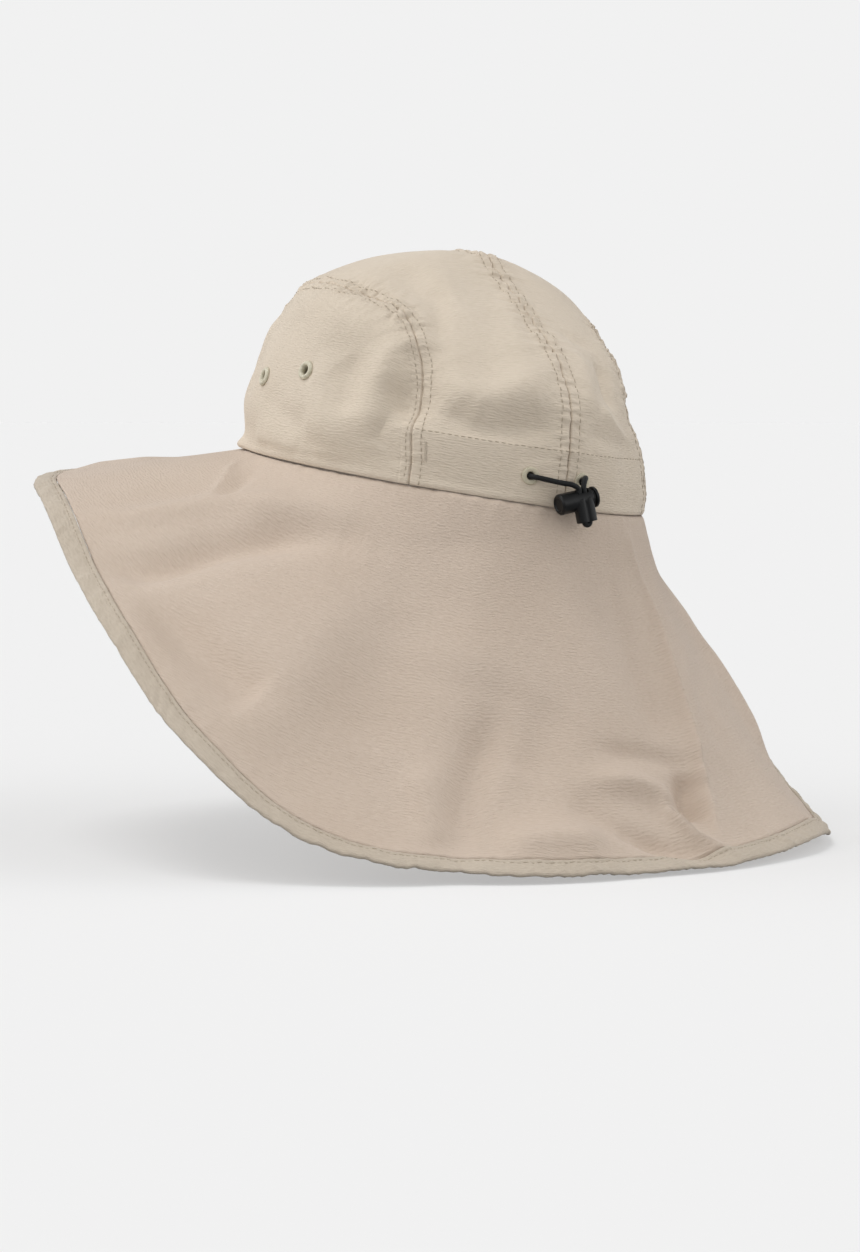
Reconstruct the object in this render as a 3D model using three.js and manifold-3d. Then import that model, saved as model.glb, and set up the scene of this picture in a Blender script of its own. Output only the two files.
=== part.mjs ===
// A flap sun hat: a soft crown sewn from two side panels and two centre panels, on one broad
// sheet of cloth that is a brim in front and hangs as a neck flap behind. The sheet ends in a
// hem band. Vent eyelets sit in the side panels, and a black drawcord runs in a casing round the
// back of the head, out through two stitched eyelets, and through a spring cord lock.
//
// Millimetres, +Z up, the wearer faces -Y, and the wearer's left is +X. The origin is the
// middle of the head opening, in the plane of the seam between crown and brim.

import * as THREE from 'three';
import { mergeVertices } from 'three/addons/utils/BufferGeometryUtils.js';
import Module from 'manifold-3d';

const wasm = await Module();
wasm.setup();

// Cloth, and the gap between pieces that are sewn or clamped together
const CLOTH = 1.2;
const GAP = 0.3;
// The gap under a piece that lies on the crown's curve, which is made of flats
const CURVE_GAP = 0.8;

// The head opening, measured outside the crown, and the crown over it
const HEAD_LENGTH = 210;
const HEAD_WIDTH = 172;
const CROWN_HEIGHT = 104;

// Side panels: an arch seen from the side
const PANEL_HEIGHT = 79;
const PANEL_BACK = 75;
const PANEL_FRONT = 80;

// The sheet that is brim and flap, at the middle of the back
const FLAP_REACH = 95;
const FLAP_DROP = 138;
const HEM_WIDTH = 10.5;
const HEM_WALL = 2.2;

// Vent eyelets: rolled metal rings, two in each side panel
const VENT_RADIUS = 4.4;
const VENT_HOLE = 2.0;
const VENT_FLANGE = 0.6;
const VENT_RIM = 0.5;

// Casing of the drawcord, inside the back of the crown
const CASING_HEIGHT = 24.5;
const CASING_WALL = 1.0;
const CASING_DEPTH = 3.6;
const CASING_HALF_ANGLE = 43;

// Drawcord, and the stitched rings that it leaves through
const CORD_DIAMETER = 2.4;
const CORD_RING_RADIUS = 4.1;
const CORD_RING_WALL = 0.9;
const CORD_HOLE = 2.7;

// Cord lock: a barrel with a twin-lobed neck for the cord's two strands, and a sprung plunger
const BARREL_LENGTH = 15.8;
const BARREL_RADIUS = 4.6;
const BARREL_WALL = 0.85;
const NECK_LENGTH = 9.6;
const NECK_WIDTH = 8.8;
const NECK_DEPTH = 5.8;
const NECK_PROUD = 0.3;
const NECK_GROOVE = 0.7;
const LOCK_CHAMFER = 0.6;
const LOCK_CLEARANCE = 3.1;
const STRAND_GAP = 0.3;
const PLUNGER_TRAVEL = 1.0;
const PLUNGER_HEAD = 1.3;
const PLUNGER_STEM = 12.5;

// How finely the cloth is divided: steps round the head, and up or out from the seam
const TURN_STEPS = 54;
const CROWN_STEPS = 13;
const FLAP_TURN_STEPS = 64;
const FLAP_STEPS = 9;
const RING_SIDES = 12;
const CORD_SIDES = 8;

// Crown sections from the seam to the top. rise is the way up along the cloth, height a share of
// CROWN_HEIGHT, side of half HEAD_WIDTH, front and back of half HEAD_LENGTH.
const CROWN_SECTIONS = [
  { rise: 0.00, height: 0.00, side: 1.00, front: 1.00, back: 1.00 },
  { rise: 0.07, height: 0.08, side: 1.01, front: 1.01, back: 1.00 },
  { rise: 0.16, height: 0.20, side: 1.035, front: 1.03, back: 0.99 },
  { rise: 0.25, height: 0.32, side: 1.02, front: 1.02, back: 0.97 },
  { rise: 0.34, height: 0.44, side: 0.99, front: 1.00, back: 0.93 },
  { rise: 0.43, height: 0.55, side: 0.95, front: 0.97, back: 0.83 },
  { rise: 0.52, height: 0.65, side: 0.90, front: 0.92, back: 0.69 },
  { rise: 0.61, height: 0.74, side: 0.82, front: 0.84, back: 0.53 },
  { rise: 0.71, height: 0.83, side: 0.68, front: 0.72, back: 0.36 },
  { rise: 0.82, height: 0.92, side: 0.46, front: 0.51, back: 0.205 },
  { rise: 0.92, height: 0.98, side: 0.21, front: 0.24, back: 0.09 },
  { rise: 1.00, height: 1.00, side: 0.00, front: 0.00, back: 0.00 },
];

// Soft dents in the crown. turn is degrees from the centre back towards the wearer's left, wide
// is degrees. height and tall are shares of CROWN_HEIGHT, deep a share of the reach there.
const CROWN_DENTS = [
  { turn: -60, height: 0.43, wide: 32, tall: 0.17, deep: 0.15 },
  { turn: -62, height: 0.20, wide: 30, tall: 0.10, deep: 0.035 },
  { turn: -62, height: 0.74, wide: 36, tall: 0.19, deep: 0.13 },
  { turn: 50, height: 0.46, wide: 20, tall: 0.15, deep: 0.04 },
  { turn: 24, height: 0.52, wide: 14, tall: 0.14, deep: 0.025 },
  { turn: -22, height: 0.50, wide: 14, tall: 0.14, deep: 0.025 },
  { turn: 112, height: 0.62, wide: 22, tall: 0.12, deep: 0.02 },
  { turn: -118, height: 0.60, wide: 22, tall: 0.12, deep: 0.02 },
];

// The free edge of brim and flap. turn is as above, out is a share of FLAP_REACH past the
// crown, drop a share of FLAP_DROP, and hang is how far the cloth hangs down before it flares.
const FLAP_SECTIONS = [
  { turn: -180, out: 0.93, drop: 0.19, hang: 0.0 },
  { turn: -150, out: 0.95, drop: 0.20, hang: 0.0 },
  { turn: -120, out: 0.965, drop: 0.235, hang: 0.0 },
  { turn: -105, out: 0.935, drop: 0.37, hang: 0.1 },
  { turn: -90, out: 0.94, drop: 0.61, hang: 0.25 },
  { turn: -75, out: 1.02, drop: 0.82, hang: 0.45 },
  { turn: -60, out: 1.12, drop: 0.925, hang: 0.6 },
  { turn: -45, out: 1.09, drop: 0.90, hang: 0.8 },
  { turn: -30, out: 1.05, drop: 0.93, hang: 1.0 },
  { turn: 0, out: 1.00, drop: 1.01, hang: 1.0 },
  { turn: 30, out: 1.05, drop: 1.07, hang: 1.0 },
  { turn: 45, out: 1.095, drop: 1.02, hang: 0.8 },
  { turn: 60, out: 1.12, drop: 0.82, hang: 0.5 },
  { turn: 75, out: 1.03, drop: 0.60, hang: 0.25 },
  { turn: 90, out: 0.95, drop: 0.435, hang: 0.1 },
  { turn: 105, out: 0.955, drop: 0.27, hang: 0.0 },
  { turn: 120, out: 0.985, drop: 0.215, hang: 0.0 },
  { turn: 150, out: 0.95, drop: 0.205, hang: 0.0 },
  { turn: 180, out: 0.93, drop: 0.19, hang: 0.0 },
];

// How the cloth runs from the crown to its edge. at is the way along the cloth, out and drop are
// shares of the edge's. The stiff brim runs straight, and the flap hangs, flares and lies out.
const BRIM_RUN = [
  { at: 0.0, out: 0.0, drop: 0.0 },
  { at: 0.25, out: 0.25, drop: 0.24 },
  { at: 0.5, out: 0.5, drop: 0.49 },
  { at: 0.75, out: 0.75, drop: 0.745 },
  { at: 1.0, out: 1.0, drop: 1.0 },
];
const FLAP_RUN = [
  { at: 0.0, out: 0.0, drop: 0.0 },
  { at: 0.22, out: 0.10, drop: 0.25 },
  { at: 0.5, out: 0.37, drop: 0.55 },
  { at: 0.75, out: 0.65, drop: 0.82 },
  { at: 0.9, out: 0.86, drop: 0.95 },
  { at: 1.0, out: 1.0, drop: 1.0 },
];

// Soft folds of brim and flap, ridges and hollows. from and to are the turns where a fold meets
// the crown and the edge, wide is degrees, out is how far it stands out as a share of FLAP_REACH,
// and peak and long are where it is deepest and how far it runs, as shares of the cloth.
const FLAP_FOLDS = [
  { from: 100, to: 112, wide: 15, out: 0.035, peak: 0.35, long: 0.3 },
  { from: 96, to: 60, wide: 13, out: -0.05, peak: 0.55, long: 0.3 },
  { from: 62, to: 24, wide: 5, out: -0.035, peak: 0.88, long: 0.2 },
  { from: -18, to: 24, wide: 5, out: -0.04, peak: 0.86, long: 0.22 },
  { from: 24, to: 24, wide: 7, out: 0.02, peak: 0.76, long: 0.14 },
  { from: 8, to: 8, wide: 8, out: 0.035, peak: 0.9, long: 0.16 },
  { from: -14, to: -14, wide: 5, out: -0.055, peak: 0.84, long: 0.1 },
  { from: -48, to: -16, wide: 6, out: 0.05, peak: 0.6, long: 0.36 },
  { from: -64, to: -30, wide: 9, out: -0.03, peak: 0.55, long: 0.32 },
  { from: -102, to: -80, wide: 13, out: -0.03, peak: 0.6, long: 0.3 },
  { from: 145, to: 145, wide: 16, out: 0.02, peak: 1.0, long: 0.5 },
  { from: -145, to: -145, wide: 16, out: 0.02, peak: 1.0, long: 0.5 },
];

// Vent eyelets of the left side; the right side mirrors them.
const VENTS = [
  { name: 'rear', turn: 82, height: 0.39 },
  { name: 'front', turn: 102, height: 0.33 },
];

// Stitched rings where the cord leaves the casing
const CORD_EXITS = [
  { name: 'left', turn: 11.5, height: 0.115 },
  { name: 'right', turn: -5.0, height: 0.119 },
];

// Cord lock in its place: the middle of its barrel, out millimetres outside the crown. It tilts
// up to the plunger's end, and its neck leans away from the hat, both in degrees.
const LOCK_PLACE = { turn: 0, height: 0.039, out: BARREL_RADIUS + LOCK_CLEARANCE };
const LOCK_TILT = 18;
const LOCK_LEAN = 8;

// The drawcord's route, from its sewn end at the left of the casing to the one at the right.
// turn and height are as above, and out is millimetres outside the crown's outer face.
const CORD_BEFORE_LOCK = [
  { turn: 41, height: 0.115, out: -3.4 },
  { turn: 36, height: 0.115, out: -3.4 },
  { turn: 31, height: 0.115, out: -3.4 },
  { turn: 26, height: 0.115, out: -3.4 },
  { turn: 21.5, height: 0.115, out: -3.4 },
  { turn: 18, height: 0.115, out: -3.5 },
  { turn: 15.8, height: 0.115, out: -3.6 },
  { turn: 14.4, height: 0.115, out: -3.5 },
  { turn: 13.2, height: 0.115, out: -3.1 },
  { turn: 12.4, height: 0.115, out: -2.2 },
  { turn: 11.9, height: 0.115, out: -0.9 },
  { turn: 11.5, height: 0.114, out: 0.4 },
  { turn: 11.0, height: 0.113, out: 1.7 },
  { turn: 10.2, height: 0.112, out: 2.9 },
  { turn: 8.8, height: 0.110, out: 3.8 },
  { turn: 7.0, height: 0.107, out: 4.8 },
  { turn: 5.2, height: 0.104, out: 6.2 },
  { turn: 3.5, height: 0.102, out: 7.7 },
  { turn: 1.8, height: 0.101, out: 8.9 },
];
const CORD_AFTER_LOCK = [
  { turn: -2.0, height: 0.122, out: 8.6 },
  { turn: -2.8, height: 0.132, out: 7.2 },
  { turn: -3.6, height: 0.135, out: 5.2 },
  { turn: -4.3, height: 0.130, out: 3.2 },
  { turn: -4.8, height: 0.123, out: 1.1 },
  { turn: -5.1, height: 0.119, out: -0.3 },
  { turn: -5.6, height: 0.117, out: -1.8 },
  { turn: -6.6, height: 0.116, out: -3.0 },
  { turn: -8.1, height: 0.116, out: -3.5 },
  { turn: -10.5, height: 0.115, out: -3.5 },
  { turn: -14, height: 0.115, out: -3.4 },
  { turn: -19, height: 0.115, out: -3.4 },
  { turn: -24.5, height: 0.115, out: -3.4 },
  { turn: -30, height: 0.115, out: -3.4 },
  { turn: -35.5, height: 0.115, out: -3.4 },
  { turn: -41, height: 0.115, out: -3.4 },
];

const UP = new THREE.Vector3(0, 0, 1);
const radians = THREE.MathUtils.degToRad;

// A smooth curve through the rows of a table: column as it follows from key, which grows from
// row to row. Past its ends the curve runs level where level is true, and else straight on.
function through(rows, key, column, at, level) {
  const last = rows.length - 1;
  const slope = (n) => {
    if (level && (n === 0 || n === last)) return 0;
    const [a, b] = [rows[Math.max(n - 1, 0)], rows[Math.min(n + 1, last)]];
    return (b[column] - a[column]) / (b[key] - a[key]);
  };
  let i = 0;
  while (i < last - 1 && rows[i + 1][key] < at) i += 1;
  const [from, to] = [rows[i], rows[i + 1]];
  const span = to[key] - from[key];
  const t = THREE.MathUtils.clamp((at - from[key]) / span, 0, 1);
  const rise = to[column] - from[column];
  const [slopeIn, slopeOut] = [slope(i) * span, slope(i + 1) * span];
  return from[column] + slopeIn * t
    + (3 * rise - 2 * slopeIn - slopeOut) * t * t
    + (slopeIn + slopeOut - 2 * rise) * t * t * t;
}

// The difference between two turns, in degrees, the short way round
function turnBetween(a, b) {
  return THREE.MathUtils.euclideanModulo(a - b + 180, 360) - 180;
}

// A point of the crown's outer face. turn is degrees, rise runs from 0 at the seam to 1 at the top.
function crownPoint(turn, rise) {
  const section = (column) => through(CROWN_SECTIONS, 'rise', column, rise, false);
  const height = section('height');
  const angle = radians(turn);
  const lengthwise = Math.cos(angle) >= 0 ? section('back') : section('front');
  let reach = 1;
  for (const dent of CROWN_DENTS) {
    const across = turnBetween(turn, dent.turn) / dent.wide;
    const up = (height - dent.height) / dent.tall;
    reach -= dent.deep * Math.exp(-across * across - up * up);
  }
  return new THREE.Vector3(
    HEAD_WIDTH / 2 * section('side') * Math.sin(angle) * reach,
    HEAD_LENGTH / 2 * lengthwise * Math.cos(angle) * reach,
    CROWN_HEIGHT * height,
  );
}

// The rise at which the crown has a height, given as a share of CROWN_HEIGHT
function riseAt(height) {
  let [low, high] = [0, 1];
  for (let i = 0; i < 40; i += 1) {
    const middle = (low + high) / 2;
    if (through(CROWN_SECTIONS, 'rise', 'height', middle, false) < height) low = middle;
    else high = middle;
  }
  return low;
}

// The outward normal of a surface given as a function of turn and a second value
function normalOf(surface, turn, second) {
  const step = 0.002;
  const low = Math.max(second - step, 0);
  const high = Math.min(second + step, 1);
  const round = surface(turn + 0.2, second).sub(surface(turn - 0.2, second));
  const up = surface(turn, high).sub(surface(turn, low));
  return up.cross(round).normalize();
}

function crownNormal(turn, rise) {
  return rise > 0.995 ? UP.clone() : normalOf(crownPoint, turn, rise);
}

// A place near the crown: turn in degrees, height as a share of CROWN_HEIGHT, out in millimetres
function nearCrown({ turn, height, out }) {
  const rise = riseAt(height);
  return crownPoint(turn, rise).addScaledVector(crownNormal(turn, rise), out);
}

// The free edge of brim and flap at a turn
function flapSection(turn, column) {
  return through(FLAP_SECTIONS, 'turn', column, turnBetween(turn, 0), true);
}

// A point on the outer face of brim and flap, with share from 0 at the crown to 1 at the edge
function flapPoint(turn, share) {
  const hang = flapSection(turn, 'hang');
  const run = (column) => THREE.MathUtils.lerp(
    through(BRIM_RUN, 'at', column, share, false),
    through(FLAP_RUN, 'at', column, share, false),
    hang,
  );
  let fold = 0;
  for (const row of FLAP_FOLDS) {
    const across = turnBetween(turn, THREE.MathUtils.lerp(row.from, row.to, share)) / row.wide;
    const down = (share - row.peak) / row.long;
    fold += row.out * Math.exp(-across * across - down * down);
  }
  const angle = radians(turn);
  const tuck = CLOTH * (1 - hang);
  const out = FLAP_REACH * (flapSection(turn, 'out') * run('out') + fold * hang * share) - tuck;
  const lift = FLAP_REACH * fold * (1 - hang) * share;
  return new THREE.Vector3(
    (HEAD_WIDTH / 2 + out) * Math.sin(angle),
    (HEAD_LENGTH / 2 + out) * Math.cos(angle),
    lift - FLAP_DROP * flapSection(turn, 'drop') * run('drop') - GAP,
  );
}

function flapNormal(turn, share) {
  return normalOf(flapPoint, turn, share).negate();
}

// The length of the cloth from the crown to the free edge at a turn
function flapLength(turn) {
  let length = 0;
  const steps = 12;
  for (let i = 0; i < steps; i += 1) {
    length += flapPoint(turn, i / steps).distanceTo(flapPoint(turn, (i + 1) / steps));
  }
  return length;
}

// Closed mesh of a sheet on a grid: outer and inner are functions of row and column that give a
// point. Rows close on themselves if ring is true. A last row that is one point is a pole.
function sheet(rows, columns, ring, outer, inner) {
  const positions = [];
  const faces = [];
  const across = ring ? columns : columns + 1;
  for (const face of [outer, inner]) {
    for (let r = 0; r <= rows; r += 1) {
      for (let c = 0; c < across; c += 1) positions.push(...face(r, c).toArray());
    }
  }
  const side = (rows + 1) * across;
  const at = (layer, r, c) => layer * side + r * across + (ring ? c % columns : c);
  const quad = (a, b, c, d) => faces.push(a, b, c, a, c, d);
  for (let c = 0; c < columns; c += 1) {
    for (let r = 0; r < rows; r += 1) {
      quad(at(0, r, c), at(0, r + 1, c), at(0, r + 1, c + 1), at(0, r, c + 1));
      quad(at(1, r, c), at(1, r, c + 1), at(1, r + 1, c + 1), at(1, r + 1, c));
    }
    quad(at(0, 0, c), at(0, 0, c + 1), at(1, 0, c + 1), at(1, 0, c));
    quad(at(0, rows, c), at(1, rows, c), at(1, rows, c + 1), at(0, rows, c + 1));
  }
  if (!ring) {
    for (let r = 0; r < rows; r += 1) {
      quad(at(0, r, 0), at(1, r, 0), at(1, r + 1, 0), at(0, r + 1, 0));
      quad(at(0, r, columns), at(0, r + 1, columns), at(1, r + 1, columns), at(1, r, columns));
    }
  }
  return closedGeometry(positions, faces);
}

// A geometry with shared vertices merged and triangles of no area left out
function closedGeometry(positions, faces) {
  const geometry = new THREE.BufferGeometry();
  geometry.setAttribute('position', new THREE.Float32BufferAttribute(positions, 3));
  geometry.setIndex(faces);
  const merged = mergeVertices(geometry, 1e-4);
  const index = merged.getIndex().array;
  const kept = [];
  for (let i = 0; i < index.length; i += 3) {
    const [a, b, c] = [index[i], index[i + 1], index[i + 2]];
    if (a !== b && b !== c && c !== a) kept.push(a, b, c);
  }
  merged.setIndex(kept);
  return merged;
}

function solidOf(geometry) {
  const bare = geometry.clone();
  bare.deleteAttribute('normal');
  bare.deleteAttribute('uv');
  const merged = mergeVertices(bare, 1e-4);
  return new wasm.Manifold(new wasm.Mesh({
    numProp: 3,
    vertProperties: new Float32Array(merged.getAttribute('position').array),
    triVerts: new Uint32Array(merged.getIndex().array),
  }));
}

function geometryOf(solid) {
  const mesh = solid.getMesh();
  const geometry = new THREE.BufferGeometry();
  geometry.setAttribute('position', new THREE.BufferAttribute(mesh.vertProperties, 3));
  geometry.setIndex(new THREE.BufferAttribute(mesh.triVerts, 1));
  return geometry;
}

const material = (color, roughness, metalness = 0) => new THREE.MeshStandardMaterial({
  color, roughness, metalness,
});
const crownCloth = material(0xcdbfab, 0.85);
const flapCloth = material(0xc6b5a1, 0.85);
const hemCloth = material(0xc4b6a2, 0.85);
const paintedMetal = material(0xc9c3ae, 0.45);
const ringThread = material(0xc3bba4, 0.8);
const cordSheath = material(0x1c1f20, 0.75);
const lockPlastic = material(0x242627, 0.5);

const hat = new THREE.Group();

function addPiece(name, geometry, finish) {
  const mesh = new THREE.Mesh(geometry, finish);
  mesh.name = name;
  hat.add(mesh);
  return mesh;
}

// Stands a geometry that was made along +Y upright on the crown, with +Y along the normal
function onCrown(geometry, turn, height) {
  const rise = riseAt(height);
  const upright = new THREE.Quaternion().setFromUnitVectors(
    new THREE.Vector3(0, 1, 0),
    crownNormal(turn, rise),
  );
  const place = crownPoint(turn, rise);
  return geometry.applyQuaternion(upright).translate(place.x, place.y, place.z);
}

// Crown shell, before it is cut into panels
const crownShell = solidOf(sheet(
  CROWN_STEPS,
  TURN_STEPS,
  true,
  (r, c) => crownPoint(c * 360 / TURN_STEPS, r / CROWN_STEPS),
  (r, c) => {
    const [turn, rise] = [c * 360 / TURN_STEPS, r / CROWN_STEPS];
    return crownPoint(turn, rise).addScaledVector(crownNormal(turn, rise), -CLOTH);
  },
));

// The arch that a side panel shows from the side, drawn with x as the hat's Y and y as its Z
function panelArch(grow) {
  const [back, front, top] = [PANEL_BACK + grow, -PANEL_FRONT - grow, PANEL_HEIGHT + grow];
  const below = -CROWN_HEIGHT;
  const arch = new THREE.Shape();
  arch.moveTo(back, below);
  arch.lineTo(back, top * 0.15);
  arch.bezierCurveTo(back * 0.96, top * 0.62, back * 0.72, top * 0.97, back * 0.18, top);
  arch.lineTo(front * 0.45, top);
  arch.bezierCurveTo(front * 0.8, top * 0.98, front * 0.98, top * 0.76, front, top * 0.42);
  arch.lineTo(front, below);
  return arch;
}

// A prism of the arch from the middle of the hat outwards, on the left for side 1, right for -1
function archPrism(side, grow) {
  const prism = new THREE.ExtrudeGeometry(panelArch(grow), {
    depth: HEAD_WIDTH,
    bevelEnabled: false,
    curveSegments: 7,
  });
  const frame = new THREE.Matrix4().makeBasis(
    new THREE.Vector3(0, 1, 0),
    UP,
    new THREE.Vector3(1, 0, 0),
  );
  prism.applyMatrix4(frame);
  if (side < 0) prism.translate(-HEAD_WIDTH, 0, 0);
  return solidOf(prism);
}

function pegThroughCrown(radius, turn, height) {
  return solidOf(onCrown(new THREE.CylinderGeometry(radius, radius, CLOTH * 8, 16), turn, height));
}

const SIDES = [['left', 1], ['right', -1]];
const ventCloth = VENT_HOLE + VENT_FLANGE + GAP;

for (const [name, side] of SIDES) {
  let panel = crownShell.intersect(archPrism(side, 0));
  for (const vent of VENTS) {
    panel = panel.subtract(pegThroughCrown(ventCloth, side * vent.turn, vent.height));
  }
  addPiece(`side_panel_${name}`, geometryOf(panel), crownCloth);
}

// What the arches leave of the shell is the centre panels, parted by the centre seam
const middleSeam = solidOf(new THREE.BoxGeometry(GAP, HEAD_LENGTH * 2, CROWN_HEIGHT * 3));
const centreShell = crownShell
  .subtract(archPrism(1, GAP))
  .subtract(archPrism(-1, GAP))
  .subtract(middleSeam);
const centreParts = centreShell.decompose();
for (const [name, side] of SIDES) {
  let panel = centreParts.find((part) => {
    const { min, max } = part.boundingBox();
    return (min[0] + max[0]) * side > 0;
  });
  for (const exit of CORD_EXITS) {
    if (exit.name === name) {
      panel = panel.subtract(pegThroughCrown(CORD_HOLE, exit.turn, exit.height));
    }
  }
  addPiece(`centre_panel_${name}`, geometryOf(panel), crownCloth);
}

// Brim and flap: one sheet from the crown's seam to the hem band
function flapShare(turn, share) {
  return share * (1 - (HEM_WIDTH + GAP) / flapLength(turn));
}

function flapFace(below) {
  return (r, c) => {
    const turn = c * 360 / FLAP_TURN_STEPS;
    const share = flapShare(turn, r / FLAP_STEPS);
    return flapPoint(turn, share).addScaledVector(flapNormal(turn, share), -below);
  };
}
addPiece(
  'brim_flap',
  sheet(FLAP_STEPS, FLAP_TURN_STEPS, true, flapFace(CLOTH), flapFace(0)),
  flapCloth,
);

// Hem band: the doubled edge, a little thicker than the cloth that it closes
const HEM_PROUD = (HEM_WALL - CLOTH) / 2;
function hemFace(below) {
  return (r, c) => {
    const turn = c * 360 / FLAP_TURN_STEPS;
    const share = 1 - HEM_WIDTH / flapLength(turn) * (1 - r);
    return flapPoint(turn, share).addScaledVector(flapNormal(turn, share), -below);
  };
}
addPiece(
  'hem_band',
  sheet(1, FLAP_TURN_STEPS, true, hemFace(CLOTH + HEM_PROUD), hemFace(-HEM_PROUD)),
  hemCloth,
);

// Vent eyelet: a rolled rim outside, a tube through the cloth and a flat flange inside
function ventRing() {
  const outside = CURVE_GAP;
  const inside = -CLOTH - CURVE_GAP;
  const tube = VENT_HOLE + VENT_FLANGE;
  const profile = [
    [VENT_HOLE, inside - VENT_FLANGE],
    [VENT_RADIUS - VENT_RIM, inside - VENT_FLANGE],
    [VENT_RADIUS - VENT_RIM, inside],
    [tube, inside],
    [tube, outside],
    [VENT_RADIUS, outside],
    [VENT_RADIUS - VENT_RIM / 2, outside + VENT_FLANGE],
    [(VENT_RADIUS + VENT_HOLE) / 2, outside + VENT_FLANGE * 1.7],
    [VENT_HOLE + VENT_RIM, outside + VENT_FLANGE * 1.2],
    [VENT_HOLE, outside + VENT_FLANGE * 0.4],
    [VENT_HOLE, inside - VENT_FLANGE],
  ];
  return new THREE.LatheGeometry(profile.map(([r, h]) => new THREE.Vector2(r, h)), RING_SIDES);
}
for (const [name, side] of SIDES) {
  for (const vent of VENTS) {
    addPiece(
      `vent_eyelet_${name}_${vent.name}`,
      geometryOf(solidOf(onCrown(ventRing(), side * vent.turn, vent.height))),
      paintedMetal,
    );
  }
}

// Stitched ring round a cord exit: a flat ring of thread on the outside
function cordRing() {
  const [top, shoulder] = [CURVE_GAP + CORD_RING_WALL, CURVE_GAP + CORD_RING_WALL * 0.7];
  const width = CORD_RING_RADIUS - CORD_HOLE;
  const profile = [
    [CORD_HOLE, CURVE_GAP],
    [CORD_RING_RADIUS, CURVE_GAP],
    [CORD_RING_RADIUS - width * 0.2, shoulder],
    [CORD_RING_RADIUS - width * 0.5, top],
    [CORD_RING_RADIUS - width * 0.85, shoulder],
    [CORD_HOLE, CURVE_GAP],
  ];
  return new THREE.LatheGeometry(profile.map(([r, h]) => new THREE.Vector2(r, h)), RING_SIDES);
}
for (const exit of CORD_EXITS) {
  addPiece(
    `cord_ring_${exit.name}`,
    geometryOf(solidOf(onCrown(cordRing(), exit.turn, exit.height))),
    ringThread,
  );
}

// Casing: a strip inside the back of the crown, sewn along its edges and bowed in for the cord
const CASING_ROWS = 4;
const CASING_COLUMNS = 14;
function casingFace(extra) {
  return (r, c) => {
    const turn = CASING_HALF_ANGLE * (2 * c / CASING_COLUMNS - 1);
    const share = r / CASING_ROWS;
    const bow = Math.sin(Math.PI * share) ** 0.6;
    const height = (2 * GAP + share * (CASING_HEIGHT - 2 * GAP)) / CROWN_HEIGHT;
    return nearCrown({ turn, height, out: -(CLOTH + CURVE_GAP + CASING_DEPTH * bow + extra) });
  };
}
addPiece(
  'cord_casing',
  sheet(CASING_ROWS, CASING_COLUMNS, false, casingFace(0), casingFace(CASING_WALL)),
  crownCloth,
);

// The cord lock's own frame: x along the barrel to the plunger's head, z up through the cord
// hole, y towards the hat. The two strands lie side by side in x, and the neck stands proud of
// the barrel's far side.
const lockFrame = new THREE.Group();
lockFrame.position.copy(nearCrown(LOCK_PLACE));
lockFrame.rotation.order = 'ZYX';
lockFrame.rotation.set(radians(-LOCK_LEAN), radians(-LOCK_TILT), Math.PI);
lockFrame.updateMatrixWorld(true);

const neckMiddle = (BARREL_LENGTH - NECK_WIDTH) / 2;
const strandPlace = NECK_DEPTH / 2 - BARREL_RADIUS - NECK_PROUD;
const strandShift = (CORD_DIAMETER + STRAND_GAP) / 2;
const boreRadius = BARREL_RADIUS - BARREL_WALL;
const windowStart = neckMiddle - strandShift - CORD_DIAMETER / 2 - GAP;
const windowEnd = neckMiddle + strandShift + CORD_DIAMETER / 2 + GAP;
const windowDepth = CORD_DIAMETER + 2 * GAP;

function inLock(geometry) {
  return geometry.applyMatrix4(lockFrame.matrixWorld);
}

// A window for both strands, along z, from x = start to x = end
function windowCutter(start, end) {
  const cutter = new THREE.BoxGeometry(end - start, windowDepth, NECK_LENGTH * 3);
  cutter.translate((start + end) / 2, strandPlace, 0);
  return solidOf(cutter);
}

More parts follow.
